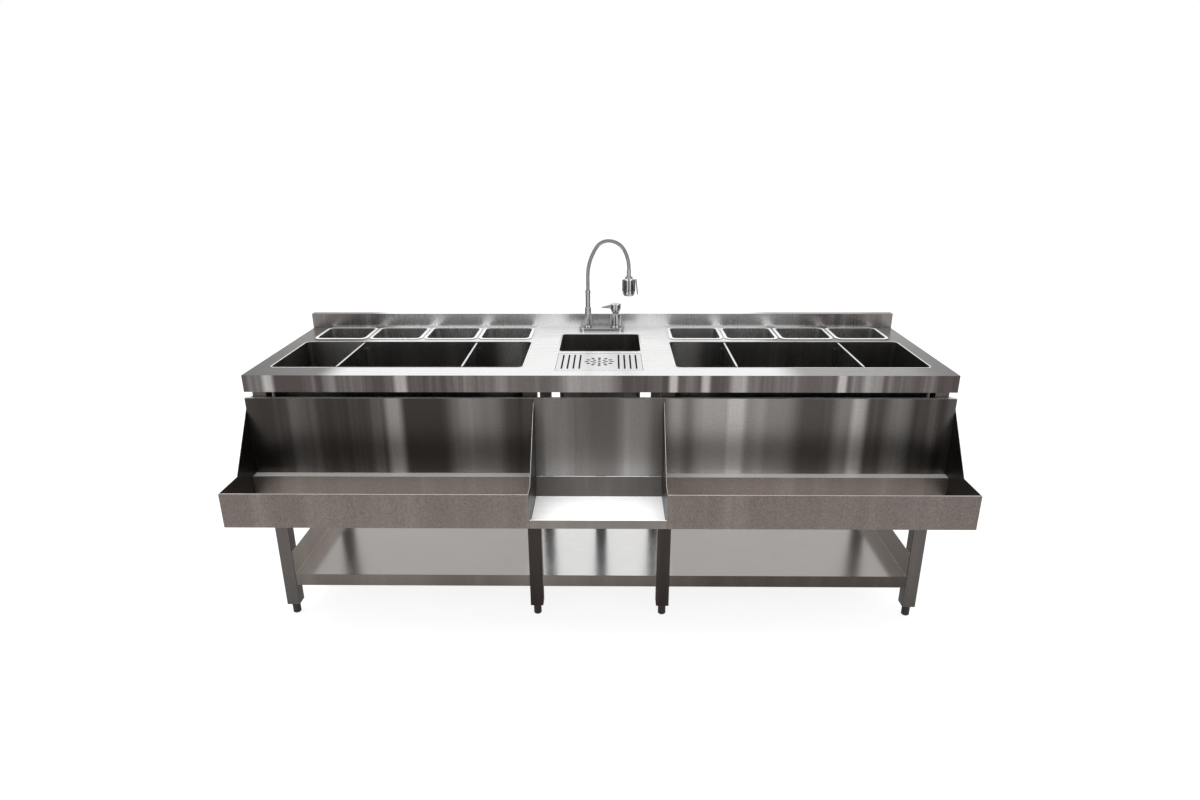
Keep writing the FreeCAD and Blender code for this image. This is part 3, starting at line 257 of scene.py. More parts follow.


# %% [markdown]
# The painted smears alone would look the same on every sheet. On the real object the
# strong bands are mirrored gaps between things in the room, and each sheet shows them
# at its own places, so these painted reflections are given by their place along the
# object. A worktop is one sheet with an apron in front and an upstand behind: past a
# given depth it has other painted reflection bands, and painted light on its upright
# faces. Its level colour gets painted shade towards the ends and painted light towards
# the back, and the cheeks of the rails, which look inwards into the trough, get painted
# shade of their own.

# %% The brushed finish
def brushed(name, dark, bright, level, roughness, seed, band_width=14.0, bands=(), reflection_smear=0.5,
            grain=0.5, run="X", level_metal=1.0, ends=(), painted_back_light=None, inward_painted_shading=1.0, rear_painted_light=None):
    """Steel with painted reflection bands from dark to bright on upright faces, and with a
    paler painted colour of its own on level faces.

    ends blends painted shade into level faces along X, each with where it begins, where it
    ends and its colour. painted_back_light makes level faces paler with depth, as painted
    light. rear_painted_light gives the depth at which other painted reflection bands begin
    and end, the painted light or shade that it adds to upright faces behind it, and the
    bands themselves.
    """
    finish = Finish(name)
    place = finish.place()
    across, depth, _ = finish.axes(place)
    sideways, _, upwards = finish.axes(finish.facing())
    up = finish.smooth_step(upwards, *LEVEL)
    moved = finish.node("ShaderNodeVectorMath", {"operation": "ADD"},
                        {0: place, 1: (seed, seed * 0.37, 0)})
    scratch = scratches(finish, moved, up, run)
    speck = finish.noise(finish.stretch(moved, SPECK_GRAIN), *SPECK_NOISE)
    cloud = finish.noise(moved, *CLOUD_NOISE)
    wide = finish.noise(finish.stretch(moved, (band_width, band_width * 0.3, 0.35)),
                        *REFLECTION_SMEAR_NOISE)
    painted_reflection = finish.levels(wide, REFLECTION_SMEAR_STOPS) * reflection_smear
    wear = CLOUD_TONE * (cloud - 0.5) + SCRATCH_TONE * (scratch - 0.5)
    # Real wear and specks scale the colour, and so do the painted shade and light below.
    wear_and_painted_light = 1.0 + (wear + grain * (speck - 0.5))
    # Faces that look inwards get painted shade, or painted light where the factor is above one.
    if inward_painted_shading != 1.0:
        wear_and_painted_light = wear_and_painted_light * finish.smooth_step(sideways * across, *INWARDS, 1.0, inward_painted_shading)
    # Behind the given depth, upright faces get other painted reflection bands and painted light
    # or shade.
    if rear_painted_light:
        begin, end, rear_painted_gain, rear_reflection_bands = rear_painted_light
        painted_rear_mask = finish.smooth_step(depth, begin, end)
        painted_reflection = painted_reflection + light_bands(finish, across, bands) * (1.0 - painted_rear_mask)
        painted_reflection = painted_reflection + light_bands(finish, across, rear_reflection_bands) * painted_rear_mask
        wear_and_painted_light = wear_and_painted_light * (1.0 + rear_painted_gain * painted_rear_mask * (1.0 - up))
    else:
        painted_reflection = painted_reflection + light_bands(finish, across, bands)
    # Painted light: level faces grow paler towards the back.
    if painted_back_light:
        wear_and_painted_light = wear_and_painted_light * (1.0 + finish.smooth_step(depth, *painted_back_light) * up)
    # Level faces get a paler painted colour of their own, with painted shade blended in along X
    # from the given ends.
    flat = opaque(level)
    for begin, end, colour in ends:
        flat = finish.blend(finish.smooth_step(across, begin, end), flat, opaque(colour))
    # Upright faces get painted reflections: bands from the dark to the bright colour.
    upright = finish.blend(painted_reflection, opaque(dark), opaque(bright))
    wear_and_painted_light_colour = finish.node("ShaderNodeVectorMath", {"operation": "SCALE"},
                        {0: finish.blend(up, upright, flat), "Scale": wear_and_painted_light})
    return finish.surface(
        Base_Color=wear_and_painted_light_colour,
        Metallic=1.0 if level_metal == 1.0 else 1.0 - (1.0 - level_metal) * up,
        Roughness=roughness + UNEVEN_SHINE * (cloud - 0.5) + UNEVEN_SHINE * (scratch - 0.5),
        Normal=finish.bumps(scratch, SCRATCH_BUMP, SCRATCH_DEPTH))


# %% Where each sheet shows its painted reflection bands: place, half width and strength
APRON_BANDS = [(-0.928, 0.022, 0.80), (-0.555, 0.026, 0.75), (-0.250, 0.200, 0.14),
               (-0.030, 0.110, 0.48), (0.209, 0.017, 1.00), (0.298, 0.017, 0.90),
               (0.390, 0.035, 0.62), (0.560, 0.300, 0.10), (0.677, 0.018, 1.00),
               (0.760, 0.040, 0.40)]
UPSTAND_BANDS = [(-0.620, 0.150, 0.60), (-0.450, 0.220, 0.55), (-0.270, 0.220, 0.70),
                 (-0.030, 0.230, 0.85), (0.180, 0.170, 0.60), (0.320, 0.160, 0.45),
                 (0.450, 0.200, 0.70), (0.600, 0.120, 0.50), (0.000, 2.600, 0.18)]
PANEL_BANDS = [(-0.585, 0.035, 0.50), (-0.345, 0.110, 0.28), (0.220, 0.040, 0.38),
               (0.335, 0.100, 0.60), (0.392, 0.034, 0.70), (0.440, 0.045, 0.34),
               (0.450, 0.500, 0.09), (0.505, 0.080, 0.30), (0.700, 0.050, 0.28),
               (0.737, 0.030, 0.60), (0.850, 0.050, 0.20)]
CENTRE_BANDS = [(-0.120, 0.060, 0.30), (0.105, 0.070, 0.36)]
SHELF_BANDS = [(-0.80, 0.40, 0.50), (-0.40, 0.45, 0.45), (-0.02, 0.40, 0.50)]
LINER_BANDS = [(-0.830, 0.110, 0.85), (-0.290, 0.065, 1.00), (0.275, 0.075, 0.90)]
print("bands placed")

# %% Sheets of the worktop and the panels
# Painted shade on the worktop's level faces, darker towards both ends.
WORKTOP_PAINTED_SHADE = [(-0.715, -0.800, (0.092, 0.086, 0.082)),
                (0.480, 0.590, (0.21, 0.202, 0.197)),
                (0.860, 0.960, (0.118, 0.112, 0.108))]
# The worktop gets painted light on its level faces towards the back, and painted light and
# painted reflection bands of its own on the upstand.
worktop_steel = brushed(
    "worktop_steel", dark=(0.170, 0.153, 0.144), bright=(0.95, 0.93, 0.91),
    level=(0.62, 0.62, 0.616), roughness=0.28, seed=3.1, band_width=24.0,
    bands=APRON_BANDS, reflection_smear=0.35, grain=0.45, level_metal=0.4, ends=WORKTOP_PAINTED_SHADE,
    painted_back_light=(0.05, 0.32, 0.0, 0.28), rear_painted_light=(0.30, 0.36, 0.40, UPSTAND_BANDS))
panel_steel = brushed(
    "panel_steel", dark=(0.092, 0.083, 0.077), bright=(0.90, 0.89, 0.88),
    level=(0.8, 0.79, 0.77), roughness=0.32, seed=8.6, band_width=13.0,
    bands=PANEL_BANDS, reflection_smear=0.16, grain=0.8, level_metal=0.6)
centre_steel = brushed(
    "centre_steel", dark=(0.19, 0.178, 0.170), bright=(0.62, 0.61, 0.60),
    level=(0.8, 0.79, 0.77), roughness=0.34, seed=2.9, band_width=18.0,
    bands=CENTRE_BANDS, reflection_smear=0.25, level_metal=0.6)
print("worktop and panels ready")

# %% Sheets of the rails and the shelves
# The rails' faces that look inwards get painted shade, and their upright faces behind the front,
# in the trough, painted light.
rail_steel = brushed(
    "rail_steel", dark=(0.350, 0.305, 0.280), bright=(0.50, 0.45, 0.415),
    level=(0.66, 0.64, 0.615), roughness=0.38, seed=5.2, grain=1.1, level_metal=0.5,
    inward_painted_shading=0.11, rear_painted_light=(-0.395, -0.385, 0.35, ()))
# The tray's upright faces at the back get painted shade.
tray_steel = brushed(
    "tray_steel", dark=(0.43, 0.39, 0.355), bright=(0.60, 0.57, 0.54),
    level=(0.99, 0.99, 0.99), roughness=0.5, seed=1.7, grain=0.2, level_metal=0.0,
    rear_painted_light=(-0.38, -0.34, -0.38, ()))
# Painted shade on the shelf's level faces outside the centre bay.
SHELF_END_PAINTED_SHADE = (0.38, 0.36, 0.345)
# The shelf's faces that look inwards get painted light.
shelf_steel = brushed(
    "shelf_steel", dark=(0.15, 0.130, 0.115), bright=(0.40, 0.36, 0.33),
    level=(0.80, 0.795, 0.79), roughness=0.16, seed=6.4, bands=SHELF_BANDS, reflection_smear=0.25,
    grain=0.4, level_metal=0.85, inward_painted_shading=2.0,
    ends=[(-0.16, -0.24, SHELF_END_PAINTED_SHADE), (0.16, 0.24, SHELF_END_PAINTED_SHADE)])
print("rails and shelves ready")

# %% Tube, liners and inserts
leg_steel = brushed(
    "leg_steel", dark=(0.21, 0.190, 0.177), bright=(0.33, 0.31, 0.295),
    level=(0.5, 0.49, 0.48), roughness=0.36, seed=2.2, band_width=30.0)
# The middle legs stand in shade, so they get a darker copy of the leg finish: painted shade.
inner_leg_steel = brushed(
    "inner_leg_steel", dark=(0.09, 0.073, 0.066), bright=(0.17, 0.146, 0.134),
    level=(0.3, 0.29, 0.28), roughness=0.38, seed=4.4, band_width=30.0)
frame_steel = brushed(
    "frame_steel", dark=(0.28, 0.275, 0.27), bright=(0.4, 0.395, 0.39),
    level=(0.4, 0.395, 0.39), roughness=0.45, seed=1.1)
liner_steel = brushed(
    "liner_steel", dark=(0.29, 0.280, 0.272), bright=(0.95, 0.94, 0.93),
    level=(0.55, 0.55, 0.545), roughness=0.30, seed=7.3, bands=LINER_BANDS, reflection_smear=0.25)
insert_steel = brushed(
    "insert_steel", dark=(0.34, 0.335, 0.33), bright=(0.6, 0.595, 0.59),
    level=(0.9, 0.9, 0.895), roughness=0.27, seed=9.5, run="Y")
grate_steel = brushed(
    "grate_steel", dark=(0.30, 0.295, 0.29), bright=(0.6, 0.595, 0.59),
    level=(0.60, 0.60, 0.595), roughness=0.32, seed=0.8, run="Y", level_metal=0.5)
pan_steel = brushed(
    "pan_steel", dark=(0.50, 0.495, 0.49), bright=(0.85, 0.845, 0.84),
    level=(0.97, 0.97, 0.965), roughness=0.26, seed=3.8, run="Y", level_metal=0.35)
print("tube, liners and inserts ready")

# %% [markdown]
# ## Polished, plated and moulded finishes
# Ground seams and small fittings reflect sharply and carry only fine wiping marks.
# The tap is plated with chrome and smoother still. Its pieces are round and narrow,
# so each mirrors the whole room from side to side as a few hard upright streaks. A
# white studio can't give those, so they are painted into the colour as reflections,
# by the direction in which a face looks sideways, which is the same from every camera.
# The feet, the waste pipes and the grip of the spray head are moulded, dark and dull,
# with a fine grain.

# %% Polished and plated
WIPING_GRAIN, WIPING_NOISE = (30, 30, 8), (3.0, 3.0, 0.6)
SPOT_NOISE = (240.0, 2.0, 0.5)
RIPPLE_BUMP, RIPPLE_DEPTH = 0.08, 0.0004
# The light and the dark of the painted reflection streaks on the chrome.
STREAK_LIGHT = (0.94, 0.94, 0.94)
STREAK_DARKER = 0.45
STREAK_MATT = 0.7


def polished(name, colour, roughness, marks=0.06, metal=1.0, painted_streaks=()):
    """Bright metal with wiping marks, and with painted reflections of the room as streaks where
    they are given.
    """
    finish = Finish(name)
    place = finish.place()
    wiping = finish.noise(finish.stretch(place, WIPING_GRAIN), *WIPING_NOISE)
    spots = finish.noise(place, *SPOT_NOISE)
    # Painted reflections: the colour turns light or dark by the way a face looks sideways.
    if painted_streaks:
        sideways = finish.axes(finish.facing())[0]
        light = finish.levels(sideways * 0.5 + 0.5, painted_streaks)
        wear_and_painted_light_colour = finish.blend(light, opaque(colour, STREAK_DARKER), opaque(STREAK_LIGHT))
        metal = 1.0 - STREAK_MATT * light
    else:
        wear_and_painted_light_colour = finish.blend(wiping, opaque(colour, 0.92), opaque(colour, 1.06))
    return finish.surface(
        Base_Color=wear_and_painted_light_colour,
        Metallic=metal,
        Roughness=roughness + marks * (wiping - 0.5) + marks * 0.5 * (spots - 0.5),
        Normal=finish.bumps(wiping, RIPPLE_BUMP, RIPPLE_DEPTH))


# The room's painted reflection in the chrome: light and dark stops along the sideways look of a
# face.
PAINTED_ROOM_IN_CHROME = [(0.00, 0.85), (0.10, 0.10), (0.25, 0.05), (0.36, 0.90), (0.45, 0.25),
                  (0.56, 0.40), (0.63, 0.95), (0.72, 0.05), (0.88, 0.15), (1.00, 0.95)]
fitting_polish = polished("fitting_polish", (0.66, 0.66, 0.655), 0.2)
seam_polish = polished("seam_polish", (0.68, 0.68, 0.676), 0.14, metal=0.5)
tap_chrome = polished("tap_chrome", (0.60, 0.605, 0.61), 0.06, 0.04, painted_streaks=PAINTED_ROOM_IN_CHROME)
hose_chrome = polished("hose_chrome", (0.66, 0.665, 0.67), 0.2, 0.08)
print("polished metals ready")

# %% Moulded
SKIN_NOISE = (900.0, 2.0, 0.5)
WEAR_NOISE = (18.0, 4.0, 0.6)
SKIN_BUMP, SKIN_DEPTH = 0.25, 0.0002


def moulded(name, colour, roughness):
    """Dull plastic or rubber with a fine grain and cloudy wear."""
    finish = Finish(name)
    place = finish.place()
    grain = finish.noise(place, *SKIN_NOISE)
    wear = finish.noise(place, *WEAR_NOISE)
    return finish.surface(
        Base_Color=finish.blend(wear, opaque(colour, 0.75), opaque(colour, 1.35)),
        Roughness=roughness + 0.2 * (wear - 0.5),
        Normal=finish.bumps(grain, SKIN_BUMP, SKIN_DEPTH))


foot_plastic = moulded("foot_plastic", (0.035, 0.034, 0.033), 0.5)
pipe_plastic = moulded("pipe_plastic", (0.05, 0.05, 0.05), 0.42)
grip_rubber = moulded("grip_rubber", (0.018, 0.018, 0.018), 0.45)
print("moulded finishes ready")

# %% [markdown]
# ## Soft folds on the sheet metal
# The solids have knife-sharp folds, and a real press brake leaves a small radius that
# catches a line of light. A copy of each folded sheet has its loose triangles merged
# and its flat faces cleaned, and gets a narrow bevel and smooth shading. The bevel
# would bend the shading of the wide faces beside it, and with it what they mirror, so
# their normals are weighted by area, which keeps flat sheet flat. The copy then
# stands for the solid and moves with the same body. Turned, drawn and hidden solids
# have the right shape already, so they stay and only get their finish.

# %% Which solid belongs to which body and slot
record = frame["record"]
body_of = {node: body for body, nodes in record["behaviour"]["bodies"].items()
           for node in nodes}
slot_of = {entry["node"]: entry["material_slot"] for entry in record["subparts"]}
FINISHES = {
    "worktop": worktop_steel, "frame": frame_steel, "tube": leg_steel,
    "foot": foot_plastic, "shelf": shelf_steel, "liner": liner_steel,
    "insert": insert_steel, "pan": pan_steel, "front": panel_steel,
    "waste": pipe_plastic, "fitting": fitting_polish, "tap": tap_chrome,
    "hose": hose_chrome,
}
OWN_FINISH = {
    "bottle_rail_left": rail_steel, "bottle_rail_right": rail_steel,
    "centre_shelf": tray_steel, "centre_panel": centre_steel,
    "drain_grate": grate_steel, "drip_tray": insert_steel,
    "leg_front_left_mid": inner_leg_steel, "leg_front_right_mid": inner_leg_steel,
    "leg_rear_left_mid": inner_leg_steel, "leg_rear_right_mid": inner_leg_steel,
}
FOLDED = [node for node in sorted(body_of)
          if slot_of[node] in ("worktop", "tube", "shelf", "front")
          or node.startswith("bin_divider") or node == "drain_grate"]
print(len(FOLDED), "folded sheets of", len(body_of), "solids")


# %% Helpers that choose, finish and place a piece
def only(piece):
    """Make one piece the only selected and the active one."""
    bpy.ops.object.select_all(action="DESELECT")
    piece.select_set(True)
    bpy.context.view_layer.objects.active = piece


def apply_all(piece):
    only(piece)
    for modifier in list(piece.modifiers):
        bpy.ops.object.modifier_apply(modifier=modifier.name)


def belong(piece, body, slot_name, finish, *nodes):
    """Give a piece its finish, its body and the solids that it stands for."""
    piece.data.materials.clear()
    piece.data.materials.append(finish)
    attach(piece, body)
    if nodes:
        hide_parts(*nodes)


# %% A softened copy of a folded sheet
WELD_DISTANCE = 0.000002
FOLD_WIDTH = 0.0006
FLAT_ANGLE, FOLD_ANGLE, SMOOTH_ANGLE = 0.5, 50, 35


def soften(node, finish):
    """A copy of a solid with clean faces, rounded folds and smooth shading."""
    piece = frame["nodes"][node].copy()
    piece.data = piece.data.copy()
    piece.name = "dressed_" + node
    bpy.context.collection.objects.link(piece)
    only(piece)
    bpy.ops.object.mode_set(mode="EDIT")
    bpy.ops.mesh.select_all(action="SELECT")
    bpy.ops.mesh.remove_doubles(threshold=WELD_DISTANCE)
    bpy.ops.mesh.dissolve_limited(angle_limit=math.radians(FLAT_ANGLE))
    bpy.ops.object.mode_set(mode="OBJECT")
    fold = piece.modifiers.new("fold", "BEVEL")
    fold.width = FOLD_WIDTH
    fold.segments = 2
    fold.limit_method = "ANGLE"
    fold.angle_limit = math.radians(FOLD_ANGLE)
    apply_all(piece)
    bpy.ops.object.shade_smooth_by_angle(angle=math.radians(SMOOTH_ANGLE))
    flat = piece.modifiers.new("flat", "WEIGHTED_NORMAL")
    flat.mode = "FACE_AREA"
    flat.weight = 100
    flat.keep_sharp = True
    apply_all(piece)
    belong(piece, body_of[node], slot_of[node], finish, node)
    return piece


# %% Dress the solids
for node in sorted(body_of):
    finish = OWN_FINISH.get(node, FINISHES[slot_of[node]])
    if node in FOLDED:
        sheet = soften(node, finish)
        if node == "worktop":
            print("worktop now has", len(sheet.data.polygons), "faces")
    else:
        solid = frame["nodes"][node]
        solid.data.materials.clear()
        solid.data.materials.append(finish)

# %% [markdown]
# ## Polished seams
# Each well is a tub welded to the underside of the worktop, and the edge of its
# opening is ground and polished afterwards. That leaves a thin bright line round the
# opening, brighter than the brushed sheet. The tub's flange reaches under the sheet
# all round, so the opening is its box less the flange, and the drainer's opening is
# the grate with its gap. A plane a little larger than the opening gets round corners,
# its middle is inset and deleted, and the frame that is left is raised by a hair.

# %% A seam round an opening
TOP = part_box("drain_grate")[1].z
SEAM_WIDTH, SEAM_RISE, SEAM_ROUNDING = 0.0045, 0.0006, 0.0003


def polished_seam(name, node, inside, corner):
    """A raised polished line round the opening that lies inside a solid's box."""
    low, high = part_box(node)
    bpy.ops.object.select_all(action="DESELECT")
    middle = ((low.x + high.x) / 2, (low.y + high.y) / 2, TOP)
    bpy.ops.mesh.primitive_plane_add(size=1, location=middle)
    seam = bpy.context.object
    seam.name = name
    wider = 2 * (SEAM_WIDTH - inside)
    seam.scale = (high.x - low.x + wider, high.y - low.y + wider, 1)
    bpy.ops.object.transform_apply(location=True, rotation=True, scale=True)
    bpy.ops.object.mode_set(mode="EDIT")
    bpy.ops.mesh.select_all(action="SELECT")
    bpy.ops.mesh.bevel(offset=corner + SEAM_WIDTH, segments=6, affect="VERTICES")
    bpy.ops.mesh.select_all(action="SELECT")
    bpy.ops.mesh.inset(thickness=SEAM_WIDTH)
    bpy.ops.mesh.delete(type="FACE")
    bpy.ops.mesh.select_all(action="SELECT")
    bpy.ops.mesh.extrude_region_move(TRANSFORM_OT_translate={"value": (0, 0, SEAM_RISE)})
    bpy.ops.mesh.select_all(action="SELECT")
    bpy.ops.mesh.normals_make_consistent(inside=False)
    bpy.ops.object.mode_set(mode="OBJECT")
    soft = seam.modifiers.new("soft", "BEVEL")
    soft.width = SEAM_ROUNDING
    soft.segments = 2
    apply_all(seam)
    bpy.ops.object.shade_smooth_by_angle(angle=math.radians(40))
    belong(seam, "stand", "worktop", seam_polish)
    return seam


# %% Seams round the wells, the sink and the drainer
BIN_FLANGE, SINK_FLANGE, GRATE_GAP = 0.015, 0.010, 0.001
OPENINGS = {
    "well_left": ("ice_bin_left", BIN_FLANGE, 0.014),
    "well_right": ("ice_bin_right", BIN_FLANGE, 0.014),
    "sink": ("sink_bowl", SINK_FLANGE, 0.012),
    "drainer": ("drain_grate", -GRATE_GAP, 0.005),
}
for name, (node, inside, corner) in OPENINGS.items():
    seam = polished_seam("seam_" + name, node, inside, corner)
    print(seam.name, len(seam.data.polygons), "faces")

# %% [markdown]
# ## The ribbed gooseneck
# The gooseneck is a stiff steel hose wound from a narrow strip, so it shows a rib
# about every three millimetres. One rib is modelled from a circle, repeated with an
# Array, and bent along a curve with the same straight and four arcs as the solid. A
# Curve modifier keeps every rib square to the path, which a hand-placed stack of rings
# wouldn't.

# %% The path of the gooseneck
ARCS = [(0.170, 35.0), (0.046, 55.0), (0.060, 61.0), (0.126, 29.0)]
STRAIGHT = 0.045
collar_low, collar_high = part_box("spout_collar")
start = Vector(((collar_low.x + collar_high.x) / 2, (collar_low.y + collar_high.y) / 2,
                collar_high.z))


def path_knots():
    """Each knot of the path as its place, its direction and the arc that follows."""
    place, heading = start.copy(), math.pi / 2
    knots = [(place.copy(), heading, STRAIGHT / 3, STRAIGHT / 3)]
    place += Vector((0, 0, STRAIGHT))
    reach_in = STRAIGHT / 3
    for radius, degrees in ARCS:
        turn = math.radians(degrees)
        reach_out = 4 / 3 * math.tan(turn / 4) * radius
        knots.append((place.copy(), heading, reach_in, reach_out))
        after = heading - turn
        place += Vector((radius * (math.sin(heading) - math.sin(after)), 0,
                         radius * (math.cos(after) - math.cos(heading))))
        heading, reach_in = after, reach_out
    knots.append((place.copy(), heading, reach_in, reach_in))
    return knots


knots = path_knots()
hose_length = STRAIGHT + sum(radius * math.radians(angle) for radius, angle in ARCS)
path_data = bpy.data.curves.new("gooseneck_path", "CURVE")
path_data.dimensions = "3D"
path_data.resolution_u = 48
spline = path_data.splines.new("BEZIER")
spline.bezier_points.add(len(knots) - 1)
for point, (place, heading, before, after) in zip(spline.bezier_points, knots):
    direction = Vector((math.cos(heading), 0, math.sin(heading)))
    point.co = place
    point.handle_left = place - direction * before
    point.handle_right = place + direction * after
path = bpy.data.objects.new("gooseneck_path", path_data)
bpy.context.collection.objects.link(path)
print("gooseneck", round(hose_length * 1000, 1), "mm, ends at",
      [round(value, 4) for value in knots[-1][0]])

# %% One rib, repeated and bent
RIBS = 104
CREST, GROOVE = 0.0067, 0.0058
RIB_STEPS = [(0.12, CREST / GROOVE), (0.50, 1.0), (0.14, GROOVE / CREST), (0.24, 1.0)]
pitch = hose_length / RIBS
bpy.ops.object.select_all(action="DESELECT")
bpy.ops.mesh.primitive_circle_add(vertices=24, radius=GROOVE, location=(0, 0, 0))
hose = bpy.context.object
hose.name = "gooseneck_hose"
bpy.ops.object.mode_set(mode="EDIT")
for rise, scale in RIB_STEPS:
    bpy.ops.mesh.extrude_region_move(TRANSFORM_OT_translate={"value": (0, 0, pitch * rise)})
    bpy.ops.transform.resize(value=(scale, scale, 1))
bpy.ops.object.mode_set(mode="OBJECT")
ribs = hose.modifiers.new("ribs", "ARRAY")
ribs.count = RIBS
ribs.use_relative_offset = False
ribs.use_constant_offset = True
ribs.constant_offset_displace = (0, 0, pitch)
ribs.use_merge_vertices = True
ribs.merge_threshold = 0.00001
bend = hose.modifiers.new("bend", "CURVE")
bend.object = path
bend.deform_axis = "POS_Z"
apply_all(hose)
bpy.data.objects.remove(path)
bpy.ops.object.mode_set(mode="EDIT")
bpy.ops.mesh.select_all(action="SELECT")
bpy.ops.mesh.normals_make_consistent(inside=False)
bpy.ops.object.mode_set(mode="OBJECT")
bpy.ops.object.shade_smooth_by_angle(angle=math.radians(60))
belong(hose, "spout", "hose", hose_chrome, "spout_hose")
print("hose box", [round(value, 3) for value in hose.bound_box[0]],
      [round(value, 3) for value in hose.bound_box[6]])

# %% [markdown]
# ## The grip and the nozzles of the spray head
# The spray head is held in a wet hand, so it carries upright rubber ribs, and the
# water leaves it through a rubber plate with small nozzles that can be rubbed clean.
# One rib and one nozzle are modelled and copied round the axis of the head, because
# they are all alike, and each set is joined into one piece that moves with the head.

# %% A ring of like pieces
def ring_of(first, count, centre):
    """Copy a piece round an upright axis, and join the copies into it."""
    around = [first]
    for step in range(1, count):
        copy = first.copy()
        copy.data = first.data.copy()
        bpy.context.collection.objects.link(copy)
        only(copy)
        bpy.ops.transform.rotate(value=step * math.tau / count, orient_axis="Z",
                                 center_override=centre)
        bpy.ops.object.transform_apply(location=True, rotation=True, scale=True)
        around.append(copy)
    bpy.ops.object.select_all(action="DESELECT")
    for piece in around:
        piece.select_set(True)
    bpy.context.view_layer.objects.active = first
    bpy.ops.object.join()
    only(first)


def round_bar(name, radius, low, high, x, y, vertices):
    """An upright bar with rounded ends."""
    bpy.ops.object.select_all(action="DESELECT")
    bpy.ops.mesh.primitive_cylinder_add(vertices=vertices, radius=radius, depth=high - low,
                                        location=(x, y, (low + high) / 2))
    bar = bpy.context.object
    bar.name = name
    bpy.ops.object.transform_apply(location=True, rotation=True, scale=True)
    rounding = bar.modifiers.new("rounding", "BEVEL")
    rounding.width = radius * 0.3
    rounding.segments = 2
    rounding.limit_method = "ANGLE"
    apply_all(bar)
    return bar


def rubber(piece):
    """Shade a piece of the spray head smoothly and make it rubber."""
    bpy.ops.object.shade_smooth_by_angle(angle=math.radians(50))
    belong(piece, "spray_head", "tap", grip_rubber)


# %% Ribs, plate and nozzles, low and high measured from the foot of the head
RIB_RADIUS, RIB_LOW, RIB_HIGH, RIB_COUNT = 0.0013, 0.012, 0.050, 16
PLATE_SHARE, PLATE_LOW, PLATE_HIGH = 0.86, -0.0015, 0.004
NOZZLE_RADIUS, NOZZLE_LOW, NOZZLE_HIGH, NOZZLE_COUNT = 0.0011, -0.0035, -0.0005, 14
NOZZLE_RING = 0.66
head_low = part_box("spray_head")[0]
foot = head_low.z
axis = knots[-1][0]
centre = (axis.x, axis.y, 0)
head_radius = axis.x - head_low.x
rib = round_bar("spray_grip", RIB_RADIUS, foot + RIB_LOW, foot + RIB_HIGH,
                axis.x - head_radius, axis.y, 10)
ring_of(rib, RIB_COUNT, centre)
rubber(rib)
plate = round_bar("spray_plate", head_radius * PLATE_SHARE, foot + PLATE_LOW,
                  foot + PLATE_HIGH, axis.x, axis.y, 48)
rubber(plate)
nozzle = round_bar("spray_nozzles", NOZZLE_RADIUS, foot + NOZZLE_LOW, foot + NOZZLE_HIGH,
                   axis.x + head_radius * NOZZLE_RING, axis.y, 10)
ring_of(nozzle, NOZZLE_COUNT, centre)
rubber(nozzle)
print("spray head radius", round(head_radius * 1000, 2), "mm, bottom at", round(foot, 4))
print("spray grip", len(rib.data.polygons), "faces, nozzles", len(nozzle.data.polygons), "faces")

# %% [markdown]
# ## The studio
# The object stands on a pale floor before a white backdrop, under one broad soft
# light. Bare metal shows only what is around it, so the room matters as much as the
# lamp. The floor is white to the eye but dark in the metal, like a room beyond the
# white sheet, and a grey sheet on the floor in front, which the camera doesn't see,
# gives the aprons their tone.

# %% Floor
SEEN_FLOOR, MIRRORED_FLOOR = 0.86, 0.2
SEEN_TINT, LIGHTING_TINT = (0.3, 0.3, 0.3, 1), (0.85, 0.85, 0.85, 1)
bpy.ops.object.select_all(action="DESELECT")
bpy.ops.mesh.primitive_plane_add(size=60, location=(0, 0, 0))
floor = bpy.context.object
floor.name = "studio_floor"
floor_finish = Finish("studio_floor")
seen = floor_finish.node("ShaderNodeLightPath", out="Is Camera Ray")
mirrored = floor_finish.node("ShaderNodeLightPath", out="Is Glossy Ray")
through = floor_finish.node("ShaderNodeLightPath", out="Is Transmission Ray")
tint = floor_finish.blend(seen + mirrored + through, LIGHTING_TINT, SEEN_TINT)
glow_level = (seen + through) * SEEN_FLOOR + mirrored * MIRRORED_FLOOR
matt = floor_finish.node("ShaderNodeBsdfDiffuse", {}, {"Color": tint})
glow = floor_finish.node("ShaderNodeEmission", {},
                         {"Color": (1, 1, 1, 1), "Strength": glow_level})
floor_finish.show(floor_finish.node("ShaderNodeAddShader", {}, {0: matt, 1: glow}))
floor.data.materials.append(floor_finish.material)
print("floor laid")

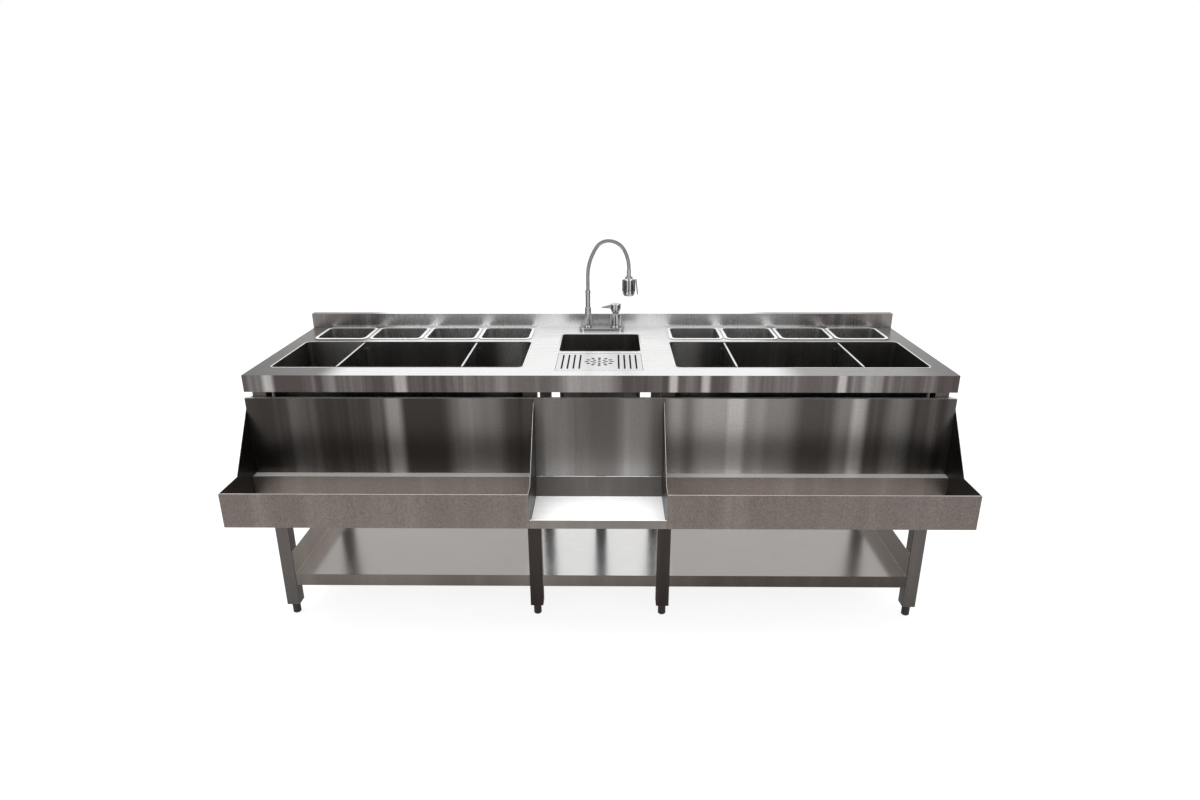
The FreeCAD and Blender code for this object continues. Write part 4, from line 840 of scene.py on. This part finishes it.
# %% Grey sheet in front, seen only in the metal
bpy.ops.object.select_all(action="DESELECT")
bpy.ops.mesh.primitive_plane_add(size=1, location=(0, -3.6, 0.002))
sheet = bpy.context.object
sheet.name = "studio_grey_sheet"
sheet.scale = (9, 5, 1)
bpy.ops.object.transform_apply(scale=True)
sheet.visible_camera = False
sheet.visible_diffuse = False
sheet.visible_shadow = False
grey = Finish("studio_grey")
grey.show(grey.node("ShaderNodeEmission", {}, {"Color": (0.5, 0.48, 0.47, 1)}))
sheet.data.materials.append(grey.material)
print("sheet laid")

# %% [markdown]
# The sky is plain white to the camera, and a little less bright as a light. In the
# metal it is white only behind the object, where the backdrop hangs, and falls to the
# grey of a room beside it and on the camera's side. Coordinates on the sky are
# directions, so a smooth step along X gives the backdrop's width and one along Y its
# side of the room.

# %% World
SKY_LIGHT = 0.9
ROOM_GREY = 0.35
BACKDROP_SIDE = (0.29, 0.52)
BACKDROP_DEPTH = (-0.1, 0.5)
world = bpy.data.worlds.new("studio_world")
bpy.context.scene.world = world
world.use_nodes = True
sky = Wiring(world.node_tree)
aside, away, _ = sky.axes(sky.node("ShaderNodeTexCoord", out="Generated"))
backdrop = (sky.smooth_step(abs(aside), *BACKDROP_SIDE, 1.0, 0.0)
            * sky.smooth_step(away, *BACKDROP_DEPTH))
mirror = ROOM_GREY + (1.0 - ROOM_GREY) * backdrop
mirrored = sky.node("ShaderNodeLightPath", out="Is Glossy Ray")
seen = (sky.node("ShaderNodeLightPath", out="Is Camera Ray")
        + sky.node("ShaderNodeLightPath", out="Is Transmission Ray"))
unseen = SKY_LIGHT + mirrored * (mirror - SKY_LIGHT)
strength = seen + (1.0 - seen) * unseen
sky.show(sky.node("ShaderNodeBackground", {}, {"Color": (1, 1, 1, 1), "Strength": strength}),
         "ShaderNodeOutputWorld")
print("world ready")

# %% [markdown]
# One broad lamp above gives the pale sheets their light and the floor its soft
# shadow. It is kept out of the mirrored picture, because its bright oblong would lie
# on the worktop from above and hide the brushing.

# %% Lamp
LAMP_WATTS = 76
bpy.ops.object.light_add(type="AREA", location=(-0.4, -0.6, 3.2), rotation=(0.15, -0.1, 0))
lamp = bpy.context.object
lamp.name = "soft_top_light"
lamp.data.shape = "RECTANGLE"
lamp.data.size = 3.4
lamp.data.size_y = 2.0
lamp.data.energy = LAMP_WATTS
lamp.visible_glossy = False
print("lamp set")

# %% Finish
bpy.context.scene.view_settings.view_transform = "Standard"
